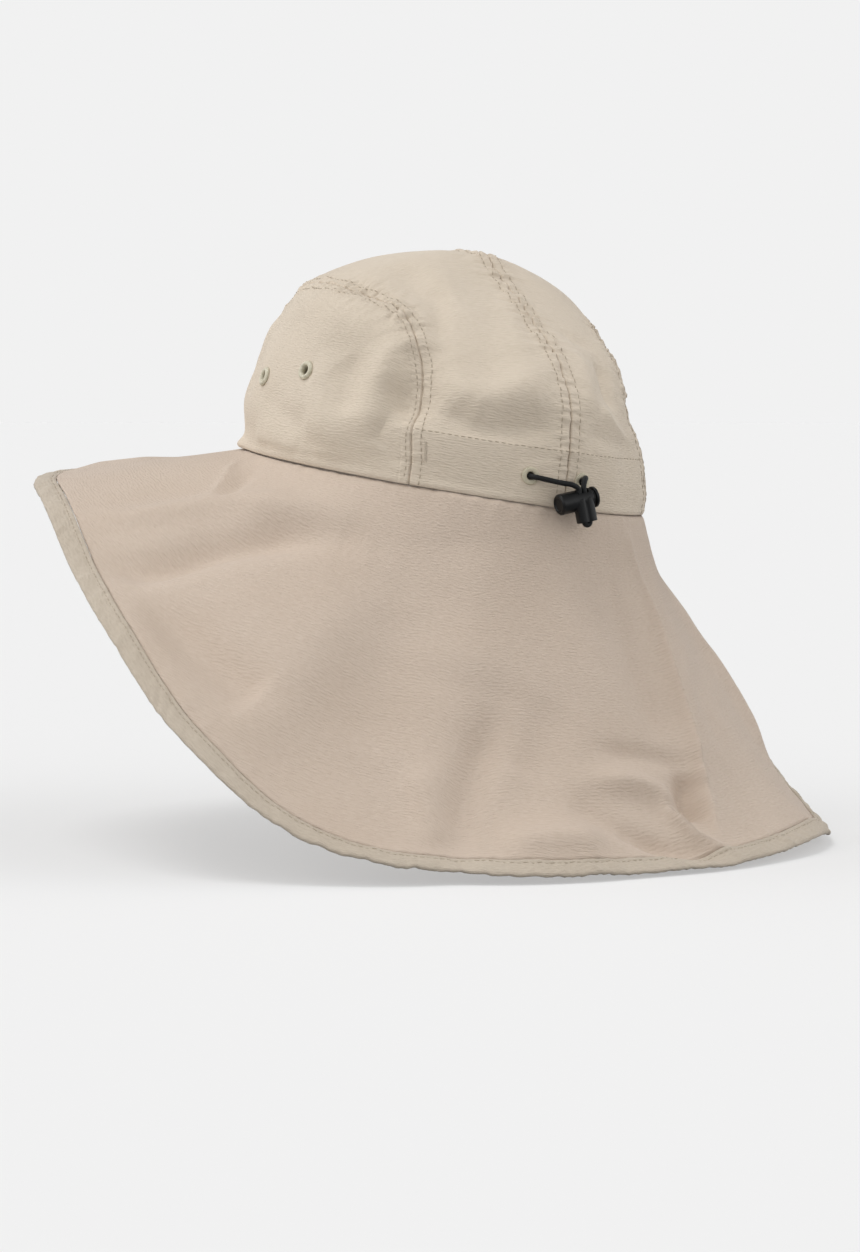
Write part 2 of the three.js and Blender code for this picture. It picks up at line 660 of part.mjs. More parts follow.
function barrelSolid() {
  const half = BARREL_LENGTH / 2;
  const outline = [
    [0, -half],
    [BARREL_RADIUS - LOCK_CHAMFER, -half],
    [BARREL_RADIUS, -half + LOCK_CHAMFER],
    [BARREL_RADIUS, half - LOCK_CHAMFER / 2],
    [BARREL_RADIUS - LOCK_CHAMFER / 2, half],
    [0, half],
  ];
  const body = new THREE.LatheGeometry(outline.map(([r, h]) => new THREE.Vector2(r, h)), 20);
  body.rotateZ(-Math.PI / 2);

  const lobe = NECK_WIDTH / 4;
  const neckShape = new THREE.Shape();
  const [halfWidth, halfDepth] = [NECK_WIDTH / 2, NECK_DEPTH / 2];
  neckShape.moveTo(0, -halfDepth + NECK_GROOVE);
  neckShape.quadraticCurveTo(lobe * 0.4, -halfDepth, lobe, -halfDepth);
  neckShape.quadraticCurveTo(halfWidth, -halfDepth, halfWidth, 0);
  neckShape.quadraticCurveTo(halfWidth, halfDepth, lobe, halfDepth);
  neckShape.quadraticCurveTo(lobe * 0.4, halfDepth, 0, halfDepth - NECK_GROOVE);
  neckShape.quadraticCurveTo(-lobe * 0.4, halfDepth, -lobe, halfDepth);
  neckShape.quadraticCurveTo(-halfWidth, halfDepth, -halfWidth, 0);
  neckShape.quadraticCurveTo(-halfWidth, -halfDepth, -lobe, -halfDepth);
  neckShape.quadraticCurveTo(-lobe * 0.4, -halfDepth, 0, -halfDepth + NECK_GROOVE);
  const neck = new THREE.ExtrudeGeometry(neckShape, {
    depth: NECK_LENGTH,
    bevelEnabled: false,
    curveSegments: 3,
  });
  neck.translate(neckMiddle, strandPlace, -NECK_LENGTH);

  const bore = new THREE.CylinderGeometry(boreRadius, boreRadius, BARREL_LENGTH, 20);
  bore.rotateZ(Math.PI / 2);
  bore.translate(BARREL_WALL * 1.6, 0, 0);

  return solidOf(body)
    .add(solidOf(neck))
    .subtract(solidOf(bore))
    .subtract(windowCutter(windowStart, windowEnd));
}
addPiece('cord_lock_barrel', inLock(geometryOf(barrelSolid())), lockPlastic);

// Plunger: a stem in the bore with a window for both strands, and a flat head outside
function plungerSolid() {
  const stemRadius = boreRadius - GAP;
  const headStart = BARREL_LENGTH / 2 + PLUNGER_TRAVEL + GAP;
  const outline = [
    [0, headStart - PLUNGER_STEM],
    [stemRadius, headStart - PLUNGER_STEM],
    [stemRadius, headStart],
    [BARREL_RADIUS, headStart],
    [BARREL_RADIUS, headStart + PLUNGER_HEAD - LOCK_CHAMFER],
    [BARREL_RADIUS - LOCK_CHAMFER, headStart + PLUNGER_HEAD],
    [0, headStart + PLUNGER_HEAD],
  ];
  const turned = new THREE.LatheGeometry(outline.map(([r, h]) => new THREE.Vector2(r, h)), 20);
  turned.rotateZ(-Math.PI / 2);
  return solidOf(turned).subtract(windowCutter(windowStart, windowEnd + PLUNGER_TRAVEL));
}
addPiece('cord_lock_plunger', inLock(geometryOf(plungerSolid())), lockPlastic);

// Drawcord: from the left of the casing through the lock, round a tight bight and back
function lockPoint(x, y, z) {
  return new THREE.Vector3(x, y, z).applyMatrix4(lockFrame.matrixWorld);
}

function cordRoute() {
  const strand = (shift, heights) => heights.map(
    (z) => lockPoint(neckMiddle + shift, strandPlace, z),
  );
  const above = [BARREL_RADIUS + 0.6, BARREL_RADIUS * 0.65];
  const within = [0, 0.3, 0.65, 1].map((share) => -NECK_LENGTH * share);
  const down = [...above, ...within];
  const bightSteps = 6;
  const bight = [];
  for (let i = 1; i < bightSteps; i += 1) {
    const angle = Math.PI * i / bightSteps;
    bight.push(lockPoint(
      neckMiddle - strandShift * Math.cos(angle),
      strandPlace,
      -NECK_LENGTH - strandShift * Math.sin(angle),
    ));
  }
  return [
    ...CORD_BEFORE_LOCK.map(nearCrown),
    ...strand(-strandShift, down),
    ...bight,
    ...strand(strandShift, down.toReversed()),
    ...CORD_AFTER_LOCK.map(nearCrown),
  ];
}

// The drawcord's path, whose steps fall on the route's own points
class CordPath extends THREE.CatmullRomCurve3 {
  getPointAt(share, target) {
    return this.getPoint(share, target);
  }

  getTangentAt(share, target) {
    return this.getTangent(share, target);
  }
}

function drawcord() {
  const route = cordRoute();
  const section = new THREE.Shape();
  section.absarc(0, 0, CORD_DIAMETER / 2, 0, 2 * Math.PI);
  const tube = new THREE.ExtrudeGeometry(section, {
    extrudePath: new CordPath(route),
    steps: route.length - 1,
    curveSegments: CORD_SIDES / 2,
  });
  return geometryOf(solidOf(tube));
}
addPiece('drawcord', drawcord(), cordSheath);

export default hat;
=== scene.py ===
# The finished look of a flap sun hat: crinkled cloth panels with puckered seams, a broad sheet that
# is brim and neck flap, a topstitched hem, painted eyelets, a braided drawcord and its cord lock.
import math

import bmesh
import bpy
import numpy as np
from mathutils import Matrix, Vector, kdtree, noise
from mathutils.bvhtree import BVHTree


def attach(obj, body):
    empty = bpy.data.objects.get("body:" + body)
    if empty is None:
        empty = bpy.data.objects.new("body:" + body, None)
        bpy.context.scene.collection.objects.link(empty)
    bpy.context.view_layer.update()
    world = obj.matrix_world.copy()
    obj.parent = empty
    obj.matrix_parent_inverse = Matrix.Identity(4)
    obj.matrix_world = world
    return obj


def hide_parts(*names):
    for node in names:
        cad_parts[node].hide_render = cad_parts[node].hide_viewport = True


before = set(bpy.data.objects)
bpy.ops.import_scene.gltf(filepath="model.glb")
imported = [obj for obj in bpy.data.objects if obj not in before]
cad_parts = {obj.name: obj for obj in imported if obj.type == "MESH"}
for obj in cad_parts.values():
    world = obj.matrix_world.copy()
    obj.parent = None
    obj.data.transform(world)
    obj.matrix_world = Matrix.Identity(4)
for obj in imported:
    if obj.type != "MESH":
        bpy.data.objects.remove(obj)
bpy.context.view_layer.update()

# Camera: behind the hat on the wearer's left, just above the seam of the crown. It leans, so that
# the hat's up leans to the right, and its shift frames the hat high in a tall picture.
VIEW_TURN = math.radians(149.5)
VIEW_RISE = math.radians(2.5)
VIEW_LEAN = math.radians(9.0)
VIEW_DISTANCE = 1.8
PICTURE = (860, 1252)
ORIGIN_PIXEL = (442, 480)
PIXELS_PER_METRE = 2209.5
FILM_WIDTH = 36.0

towards_camera = Vector((
    math.sin(VIEW_TURN) * math.cos(VIEW_RISE),
    -math.cos(VIEW_TURN) * math.cos(VIEW_RISE),
    math.sin(VIEW_RISE),
))
level_right = Vector((0, 0, 1)).cross(towards_camera).normalized()
level_up = towards_camera.cross(level_right)
camera_right = level_right * math.cos(VIEW_LEAN) + level_up * math.sin(VIEW_LEAN)
camera_up = level_up * math.cos(VIEW_LEAN) - level_right * math.sin(VIEW_LEAN)

camera_data = bpy.data.cameras.new("camera")
camera_data.sensor_width = FILM_WIDTH
camera_data.lens = FILM_WIDTH * PIXELS_PER_METRE * VIEW_DISTANCE / PICTURE[1]
camera_data.shift_x = (PICTURE[0] / 2 - ORIGIN_PIXEL[0]) / PICTURE[1]
camera_data.shift_y = (ORIGIN_PIXEL[1] - PICTURE[1] / 2) / PICTURE[1]
camera = bpy.data.objects.new("camera", camera_data)
turned = Matrix((camera_right, camera_up, towards_camera)).transposed().to_4x4()
camera.matrix_world = Matrix.Translation(towards_camera * VIEW_DISTANCE) @ turned
bpy.context.scene.collection.objects.link(camera)
bpy.context.scene.camera = camera

# Crown: four panels of thin crinkled nylon, cut flat and sewn together, two arched side panels
# and a strip from back to front that is parted down the middle. Each seam is folded and
# topstitched on both sides, which draws the cloth into short puckers across it.
HEAD_LENGTH = 0.210
HEAD_WIDTH = 0.172
CROWN_HEIGHT = 0.104
CLOTH = 0.0012
GAP = 0.0003
PANEL_HEIGHT = 0.079
PANEL_BACK = 0.075
PANEL_FRONT = 0.080
SEAM_ALLOWANCE = 0.0058
TOPSTITCH = 0.0050
CROWN_TONE = "#DACDBC"
CROWN_SHADE = "#CDBFAC"

CROWN_SECTIONS = {
    "rise": (0.00, 0.07, 0.16, 0.25, 0.34, 0.43, 0.52, 0.61, 0.71, 0.82, 0.92, 1.00),
    "height": (0.00, 0.08, 0.20, 0.32, 0.44, 0.55, 0.65, 0.74, 0.83, 0.92, 0.98, 1.00),
    "side": (1.00, 1.01, 1.035, 1.02, 0.99, 0.95, 0.90, 0.82, 0.68, 0.46, 0.21, 0.00),
    "front": (1.00, 1.01, 1.03, 1.02, 1.00, 0.97, 0.92, 0.84, 0.72, 0.51, 0.24, 0.00),
    "back": (1.00, 1.00, 0.99, 0.97, 0.93, 0.83, 0.69, 0.53, 0.36, 0.205, 0.09, 0.00),
}

# Dents and swells: turn, height, wide, tall and deep. turn and wide are degrees, height and tall
# shares of the crown's height, and deep a share of the reach there.
CROWN_DENTS = [
    (-60, 0.43, 32, 0.17, 0.15), (-62, 0.20, 30, 0.10, 0.035), (-62, 0.74, 36, 0.19, 0.13),
    (50, 0.46, 20, 0.15, 0.04), (24, 0.52, 14, 0.14, 0.025), (-22, 0.50, 14, 0.14, 0.025),
    (112, 0.62, 22, 0.12, 0.02), (-118, 0.60, 22, 0.12, 0.02), (120, 0.015, 5, 0.035, -0.035),
    (26, 0.66, 11, 0.10, 0.022), (12, 0.42, 12, 0.09, -0.014), (66, 0.30, 14, 0.13, 0.016),
    (78, 0.60, 12, 0.09, -0.014), (-26, 0.30, 6, 0.20, 0.022),
]


def through(table, key, column, at, level=False):
    """A smooth curve through a table's values: column as it follows from key."""
    keys = np.array(table[key], dtype=float)
    values = np.array(table[column], dtype=float)
    slopes = np.zeros(len(keys))
    slopes[1:-1] = (values[2:] - values[:-2]) / (keys[2:] - keys[:-2])
    if not level:
        slopes[0] = (values[1] - values[0]) / (keys[1] - keys[0])
        slopes[-1] = (values[-1] - values[-2]) / (keys[-1] - keys[-2])
    at = np.clip(at, keys[0], keys[-1])
    row = np.clip(np.searchsorted(keys, at, side="right") - 1, 0, len(keys) - 2)
    span = keys[row + 1] - keys[row]
    t = (at - keys[row]) / span
    change = values[row + 1] - values[row]
    slope_in = slopes[row] * span
    slope_out = slopes[row + 1] * span
    return (
        values[row]
        + slope_in * t
        + (3 * change - 2 * slope_in - slope_out) * t**2
        + (slope_in + slope_out - 2 * change) * t**3
    )


def turn_between(a, b):
    return (a - b + 180) % 360 - 180


def crown_point(turn, rise):
    """Points on the crown's outer face, for turns in degrees and rises from 0 to 1."""
    turn, rise = np.broadcast_arrays(turn, rise)
    angle = np.radians(turn)
    height = through(CROWN_SECTIONS, "rise", "height", rise)
    back = through(CROWN_SECTIONS, "rise", "back", rise)
    front = through(CROWN_SECTIONS, "rise", "front", rise)
    reach = 1.0
    for dent_turn, dent_height, wide, tall, deep in CROWN_DENTS:
        across = turn_between(turn, dent_turn) / wide
        up = (height - dent_height) / tall
        reach = reach - deep * np.exp(-across**2 - up**2)
    lengthwise = np.where(np.cos(angle) >= 0, back, front)
    side = through(CROWN_SECTIONS, "rise", "side", rise)
    return np.stack([
        HEAD_WIDTH / 2 * side * np.sin(angle) * reach,
        HEAD_LENGTH / 2 * lengthwise * np.cos(angle) * reach,
        CROWN_HEIGHT * height,
    ], axis=-1)


def rise_at(height):
    rises = np.linspace(0, 1, 2001)
    return np.interp(height, through(CROWN_SECTIONS, "rise", "height", rises), rises)


def unit(vectors):
    return vectors / np.linalg.norm(vectors, axis=-1, keepdims=True)


def crown_normal(turn, rise):
    """Outward normals of the crown, from points a little to each side. At the very top they turn
    straight up."""
    step, round_step = 0.004, 0.25
    turn, rise = np.broadcast_arrays(turn, rise)
    low = crown_point(turn, np.clip(rise - step, 0, 1))
    high = crown_point(turn, np.clip(rise + step, 0, 1))
    left = crown_point(turn + round_step, rise)
    right = crown_point(turn - round_step, rise)
    normals = np.cross(high - low, left - right)
    normals = normals / np.maximum(np.linalg.norm(normals, axis=-1, keepdims=True), 1e-12)
    top_starts, top_fade = 0.965, 0.02
    near_top = np.clip((rise - top_starts) / top_fade, 0, 1)[..., None]
    return unit(normals * (1 - near_top) + np.array([0, 0, 1.0]) * near_top)


def near_crown(turn, height, out):
    """A place near the crown: height is a share of the crown's, out is metres off its face."""
    rise = rise_at(height)
    return crown_point(turn, rise) + crown_normal(turn, rise) * np.asarray(out)[..., None]


def ripple(x, y, z=0.0):
    """Smooth noise between about -1 and 1 at each place."""
    x, y, z = np.broadcast_arrays(x, y, z)
    values = [noise.noise(place) for place in zip(x.ravel(), y.ravel(), z.ravel())]
    return np.array(values).reshape(x.shape)


def evenly(points, count):
    """Points at even steps along a line."""
    steps = np.linalg.norm(np.diff(points, axis=0), axis=-1)
    along = np.concatenate([[0], np.cumsum(steps)])
    places = np.linspace(0, along[-1], count)
    return np.stack([np.interp(places, along, points[:, i]) for i in range(points.shape[1])], axis=-1)


def bezier(ends, count=40):
    t = np.linspace(0, 1, count)[:, None]
    a, b, c, d = (np.array(end) for end in ends)
    return (1 - t)**3 * a + 3 * (1 - t)**2 * t * b + 3 * (1 - t) * t**2 * c + t**3 * d


def arch_outline(count):
    """The side panel's arch from the back to the front, as (y, z) seen from the side."""
    back, front, top = PANEL_BACK, -PANEL_FRONT, PANEL_HEIGHT
    rear = bezier([
        (back, top * 0.15), (back * 0.96, top * 0.62), (back * 0.72, top * 0.97), (back * 0.18, top),
    ])
    fore = bezier([
        (front * 0.45, top), (front * 0.8, top * 0.98), (front * 0.98, top * 0.76), (front, top * 0.42),
    ])
    return evenly(np.vstack([[(back, 0)], rear, fore, [(front, 0)]]), count)


def arch_line(side, count):
    """The arch laid on the crown, as turns and rises. side is 1 on the left and -1 on the right."""
    outline = arch_outline(count)
    rise = rise_at(outline[:, 1] / CROWN_HEIGHT)
    low, high = np.zeros(count), np.full(count, 180.0)
    for _ in range(40):
        middle = (low + high) / 2
        behind = crown_point(side * middle, rise)[:, 1] > outline[:, 0]
        low = np.where(behind, middle, low)
        high = np.where(behind, high, middle)
    return side * low, rise


# How strongly each seam draws the cloth together, by the share of the way from back to front
ARCH_GATHER = {
    "at": (0.0, 0.12, 0.25, 0.38, 0.55, 0.8, 1.0),
    "pull": (0.25, 0.45, 1.0, 1.25, 0.8, 0.7, 0.3),
}
MIDDLE_GATHER = {
    "at": (0.0, 0.1, 0.22, 0.34, 0.46, 0.7, 1.0),
    "pull": (0.35, 0.6, 1.1, 1.4, 1.2, 0.6, 0.3),
}
BASE_GATHER = {
    "at": (0.0, 1.0),
    "pull": (0.3, 0.3),
}


class Seam:
    """A sewn line on the crown, which tells how far a point is from it and how far along it."""

    def __init__(self, points, gather, seed):
        steps = np.linalg.norm(np.diff(points, axis=0), axis=-1)
        self.points = evenly(points, int(np.sum(steps) / 0.0005))
        self.length = float(np.sum(steps))
        self.gather = gather
        self.seed = seed
        self.tree = kdtree.KDTree(len(self.points))
        for index, point in enumerate(self.points):
            self.tree.insert(point, index)
        self.tree.balance()

    def near(self, points):
        found = [self.tree.find(point)[1:] for point in points.reshape(-1, 3)]
        index, distance = np.array(found).T
        shape = points.shape[:-1]
        share = index.reshape(shape) / (len(self.points) - 1)
        return distance.reshape(shape), share

    def relief(self, points, topstitched):
        """How far the cloth stands out near the seam, in metres: its rolled edge, the ridge over
        the folded allowance, the groove of the topstitching and the puckers across them."""
        distance, share = self.near(points)
        mm = distance * 1000
        along = share * self.length * 1000
        pull = through(self.gather, "at", "pull", share)
        seed = self.seed
        if not topstitched:
            rolled = -0.25 * np.exp(-((mm / 0.7) ** 2))
            swell = 0.35 * np.exp(-((mm - 1.6) / 1.6) ** 2)
            small = 0.35 * pull * ripple(along / 3.2, mm / 9, seed) * np.exp(-((mm / 5) ** 2))
            return (rolled + swell + small) / 1000
        rolled = -1.0 * np.exp(-((mm / 0.5) ** 2))
        ridge = 0.28 / (1 + np.exp((mm - SEAM_ALLOWANCE * 1000) / 0.6))
        groove = -0.20 * np.exp(-(((mm - TOPSTITCH * 1000) / 0.5) ** 2))
        wander = along + 1.0 * ripple(along / 9, mm / 6, seed + 7)
        short = (np.abs(ripple(wander / 2.6, mm / 9, seed)) - 0.2) * np.exp(-((mm / 6.8) ** 4))
        long = (np.abs(ripple(wander / 6.0, mm / 17, seed + 3)) - 0.2) * np.exp(-((mm / 12) ** 2))
        return (rolled + ridge + groove + pull * (1.9 * short + 2.0 * long)) / 1000


# The power of a fold's profile: a crease is crisper on its crest. At its ends a fold keeps a quarter
# of its height, and it gets all of it over the first and the last 0.3 of its line.
SOFT, CREASE = 1.9, 1.25
FOLD_END, FOLD_FADE = 0.25, 0.3


def drawn_folds(points, folds, place):
    """How far folds lift the cloth, in metres. Each fold is its profile's power, its width and
    height in millimetres and a line of places on the cloth, and fades towards both of its ends."""
    relief = np.zeros(points.shape[:-1])
    for power, wide, high, places in folds:
        line = smoothed(np.array([place(*at) for at in places]), 6)
        nearest = np.full(points.shape[:-1], np.inf)
        share = np.zeros(points.shape[:-1])
        for index, (start, end) in enumerate(zip(line, line[1:])):
            run = end - start
            t = np.clip((points - start) @ run / np.dot(run, run), 0, 1)
            away = np.linalg.norm(points - start - t[..., None] * run, axis=-1)
            closer = away < nearest
            nearest = np.where(closer, away, nearest)
            share = np.where(closer, (index + t) / (len(line) - 1), share)
        fade = np.clip(np.minimum(share, 1 - share) / FOLD_FADE, 0, 1)
        fade = FOLD_END + (1 - FOLD_END) * fade * fade * (3 - 2 * fade)
        beside = nearest * 1000 / wide
        relief += high * fade * np.exp(-(beside**power)) / 1000
    return relief


def smoothed(points, steps):
    """A smooth curve through points, with a number of steps between each two."""
    before = np.vstack([points[:1], points[:-2]])
    after = np.vstack([points[2:], points[-1:]])
    curve = []
    for p0, p1, p2, p3 in zip(before, points[:-1], points[1:], after):
        for t in np.arange(steps) / steps:
            curve.append(
                p1 + (p2 - p0) * t / 2
                + (2 * p0 - 5 * p1 + 4 * p2 - p3) * t**2 / 2
                + (3 * p1 - p0 - 3 * p2 + p3) * t**3 / 2
            )
    return np.array(curve + [points[-1]])


# Folds of the slack crown, as turns and shares of its height: a soft scalloped break where the
# top slumps over the upright back, and creases pressed in beside it
CROWN_FOLDS = [
    (SOFT, 11, 4.8, [(37, 0.5), (31.4, 0.4), (22.6, 0.39), (13.4, 0.48), (2.6, 0.6)]),
    (SOFT, 8, -3.4, [(37.4, 0.28), (29.4, 0.22), (20.8, 0.23), (11.2, 0.3), (3.2, 0.42)]),
    (SOFT, 5, -2.2, [(36.4, 0.77), (37.8, 0.63), (37.8, 0.52)]),
    (SOFT, 7, -1.8, [(27.6, 0.36), (20.2, 0.36), (10.4, 0.42)]),
    (SOFT, 7, 1.8, [(41.4, 0.27), (34.4, 0.26), (23.8, 0.27), (9.8, 0.31)]),
    (SOFT, 6, -1.2, [(39, 0.07), (28.4, 0.13), (17.4, 0.13)]),
    (SOFT, 8, -2.0, [(76.8, 0.91), (44.8, 0.8), (29.4, 0.78)]),
    (SOFT, 7, 1.6, [(47, 0.93), (30.6, 0.78), (23, 0.68)]),
    (SOFT, 6, 1.4, [(2.6, 0.86), (9.6, 0.7), (13.2, 0.58)]),
    (SOFT, 9, -3.6, [(44, 0.58), (44.8, 0.41), (43.6, 0.18)]),
    (SOFT, 8, 3.8, [(53.6, 0.56), (54.6, 0.37), (54.8, 0.15)]),
    (SOFT, 9, 2.6, [(107.8, 0.68), (83, 0.68), (66.2, 0.64), (61, 0.54)]),
    (SOFT, 5, -2.4, [(58.4, 0.73), (66.2, 0.76), (82.4, 0.77)]),
    (SOFT, 9, -2.4, [(69.6, 0.48), (65, 0.36), (64.2, 0.22)]),
    (SOFT, 9, 2.0, [(79, 0.48), (72.2, 0.28), (72.6, 0.09)]),
    (SOFT, 7, -1.8, [(100.4, 0.25), (86, 0.19), (75.6, 0.17)]),
    (SOFT, 7, 1.8, [(104.4, 0.09), (88.4, 0.08), (79.2, 0.05)]),
    (SOFT, 7, 1.8, [(123, 0.34), (123.8, 0.47), (120.4, 0.6)]),
    (SOFT, 7, 2.4, [(-12.2, 0.65), (-8.4, 0.52), (-7.2, 0.38)]),
    (SOFT, 5, -3.6, [(-24, 0.62), (-22.4, 0.53), (-21.6, 0.43)]),
    (CREASE, 4.5, 2.4, [(-13.2, 0.44), (-18.6, 0.37), (-30.2, 0.31)]),
    (SOFT, 6, -2.0, [(-6.2, 0.33), (-13.8, 0.3), (-29.8, 0.25)]),
    (SOFT, 5, -1.6, [(-12.2, 0.73), (-16.6, 0.69), (-27.2, 0.68)]),
    (SOFT, 11, 2.8, [(72, 0.02), (62, 0.26), (55, 0.48), (51, 0.62)]),
    (SOFT, 10, -4.2, [(52, 0.44), (49, 0.28), (50, 0.12)]),
    (SOFT, 11, -4.0, [(38, 0.34), (28, 0.25), (12, 0.28)]),
    (SOFT, 10, -2.0, [(130, 0.45), (118, 0.36), (112, 0.22)]),
    (SOFT, 10, -2.0, [(-96, 0.5), (-110, 0.4), (-122, 0.26)]),
    (SOFT, 10, 2.2, [(150, 0.6), (165, 0.52), (185, 0.56), (205, 0.5)]),
    (SOFT, 11, -2.2, [(160, 0.34), (175, 0.28), (195, 0.33)]),
    (SOFT, 8, 1.6, [(-70, 0.3), (-80, 0.22), (-92, 0.24)]),
    (SOFT, 9, -1.8, [(-66, 0.62), (-80, 0.66), (-94, 0.6)]),
]


def on_crown(turn, height):
    return near_crown(turn, height, 0.0)


def crumple(turn, rise):
    """Soft unevenness of cloth that has been folded and opened again, in metres."""
    angle = np.radians(turn)
    x, y = (1 - rise) * np.sin(angle), (1 - rise) * np.cos(angle)
    broad = ripple(x * 3.4, y * 3.4, 5.1)
    middling = ripple(x * 8.5, y * 8.5, 1.7)
    fine = ripple(x * 20, y * 20, 9.3)
    return (0.8 * broad + 0.38 * middling + 0.10 * fine) / 1000


vents = [
    {"name": "rear", "turn": 82, "height": 0.39},
    {"name": "front", "turn": 102, "height": 0.33},
]
cord_exits = [
    {"name": "left", "turn": 11.5, "height": 0.115},
    {"name": "right", "turn": -5.0, "height": 0.119},
]
pierced = [crown_point(side * v["turn"], rise_at(v["height"])) for v in vents for side in (1, -1)]
pierced += [crown_point(e["turn"], rise_at(e["height"])) for e in cord_exits]
EYELET_CALM = 0.0065


def calm(points):
    """0 at each eyelet, which holds the cloth flat, and 1 away from them."""
    quiet = np.ones(points.shape[:-1])
    for place in pierced:
        away = np.linalg.norm(points - place, axis=-1) / EYELET_CALM
        quiet = quiet * (1 - np.exp(-(away**4)))
    return quiet


def linear(hex_colour):
    """An sRGB hex colour as linear RGBA."""
    channels = [int(hex_colour[i:i + 2], 16) / 255 for i in (1, 3, 5)]
    return [c / 12.92 if c <= 0.04045 else ((c + 0.055) / 1.055) ** 2.4 for c in channels] + [1.0]


def add_node(tree, kind, settings=None, values=None, links=None):
    """Adds a node: settings are its properties, values its sockets, links what feeds them."""
    made = tree.nodes.new(kind)
    for name, value in (settings or {}).items():
        setattr(made, name, value)
    for name, value in (values or {}).items():
        made.inputs[name].default_value = value
    for name, (source, output) in (links or {}).items():
        tree.links.new(source.outputs[output], made.inputs[name])
    return made


def new_finish(name, values):
    """A new material whose shader has some values set, and its node tree."""
    finish = bpy.data.materials.new(name)
    finish.use_nodes = True
    for socket, value in values.items():
        finish.node_tree.nodes["Principled BSDF"].inputs[socket].default_value = value
    return finish, finish.node_tree


def grain(tree, size_mm, detail, roughness=0.5):
    """Noise over the piece, with its grain in millimetres."""
    place = add_node(tree, "ShaderNodeTexCoord")
    values = {"Scale": 1000 / size_mm, "Detail": detail, "Roughness": roughness}
    return add_node(tree, "ShaderNodeTexNoise", values=values, links={"Vector": (place, "Object")})


def coloured(tree, low, high, share):
    """Colours the finish between two tones by another node's output."""
    colour = add_node(
        tree, "ShaderNodeMix", {"data_type": "RGBA"}, {"A": low, "B": high}, {"Factor": share}
    )
    tree.links.new(colour.outputs["Result"], tree.nodes["Principled BSDF"].inputs["Base Color"])


def bumped(tree, strength, distance, height):
    """Raises the finish by another node's output, at most by a distance in metres."""
    values = {"Strength": strength, "Distance": distance}
    bump = add_node(tree, "ShaderNodeBump", values=values, links={"Height": height})
    tree.links.new(bump.outputs["Normal"], tree.nodes["Principled BSDF"].inputs["Normal"])


def crinkled_nylon(name, tone, shade):
    """Crinkled plain-weave nylon: matte, with fine wavy ribs and short creases along the weft. tone is the
    cloth's colour, and the second, darker tone is where it is darker: in random cloudy patches, which are
    the cloth's own, and in the troughs of the ribs and creases, as painted shade."""
    finish, tree = new_finish(name, {"Roughness": 0.82, "Sheen Weight": 0.12, "Sheen Roughness": 0.5})
    cloth = add_node(tree, "ShaderNodeUVMap", {"uv_map": "cloth"})
    crease_mm, crease_pitch_mm, rib_mm = 2.8, 0.8, 1.45
    creases = add_node(
        tree, "ShaderNodeMapping", None,
        {"Scale": (1000 / crease_mm, 1000 / crease_pitch_mm, 1)}, {"Vector": (cloth, "UV")},
    )
    crease = add_node(
        tree, "ShaderNodeTexNoise", {"noise_dimensions": "2D"},
        {"Scale": 1.0, "Detail": 1.5, "Roughness": 0.5}, {"Vector": (creases, "Vector")},
    )
    # A wave texture of scale 1 repeats every pi / 10
    wave_period = math.pi / 10
    rib = add_node(
        tree, "ShaderNodeTexWave", {"wave_type": "BANDS", "bands_direction": "Y"},
        {"Scale": wave_period * 1000 / rib_mm, "Distortion": 5.0, "Detail": 2.0, "Detail Scale": 1.2},
        {"Vector": (cloth, "UV")},
    )
    rib_weight, cloud_weight, cloud_mm = 0.16, 0.8, 45
    cloudy = grain(tree, cloud_mm, 3.0)
    summed = {"operation": "MULTIPLY_ADD"}
    weave = add_node(
        tree, "ShaderNodeMath", summed, {1: rib_weight}, {0: (rib, "Fac"), 2: (crease, "Fac")}
    )
    cloud_and_crease_shade = add_node(
        tree, "ShaderNodeMath", summed, {1: cloud_weight}, {0: (cloudy, "Fac"), 2: (weave, "Value")}
    )
    span = add_node(
        tree, "ShaderNodeMapRange", None, {"From Min": 0.6, "From Max": 1.65}, {"Value": (cloud_and_crease_shade, "Value")}
    )
    # Painted shade: the cloth darkens towards the second tone in the troughs of the ribs and creases that
    # also bump it; the cloudy patches are the cloth's own random tone.
    coloured(tree, linear(shade), linear(tone), (span, "Result"))
    bumped(tree, 0.7, 0.0004, (weave, "Value"))
    return finish


def piece_from(name, bm, finish, smooth=True):
    """A finished bmesh as an object, with its place in its mesh."""
    mesh = bpy.data.meshes.new(name)
    bm.to_mesh(mesh)
    bm.free()
    mesh.materials.append(finish)
    if smooth:
        mesh.shade_smooth()
    made = bpy.data.objects.new(name, mesh)
    bpy.context.scene.collection.objects.link(made)
    return made


def cloth_grid(points, weft, warp):
    """A bmesh grid moved to points, with a UV map in metres along weft and warp."""
    rows, columns = points.shape[0] - 1, points.shape[1] - 1
    bm = bmesh.new()
    bmesh.ops.create_grid(bm, x_segments=columns, y_segments=rows, size=1)
    uv = bm.loops.layers.uv.new("cloth")
    places = [
        (round((vert.co.y + 1) / 2 * rows), round((vert.co.x + 1) / 2 * columns))
        for vert in bm.verts
    ]
    bm.verts.index_update()
    for face in bm.faces:
        for loop in face.loops:
            place = places[loop.vert.index]
            loop[uv].uv = (weft[place], warp[place])
    for vert in bm.verts:
        vert.co = points[places[vert.index]]
    bmesh.ops.remove_doubles(bm, verts=bm.verts, dist=2e-6)
    return bm


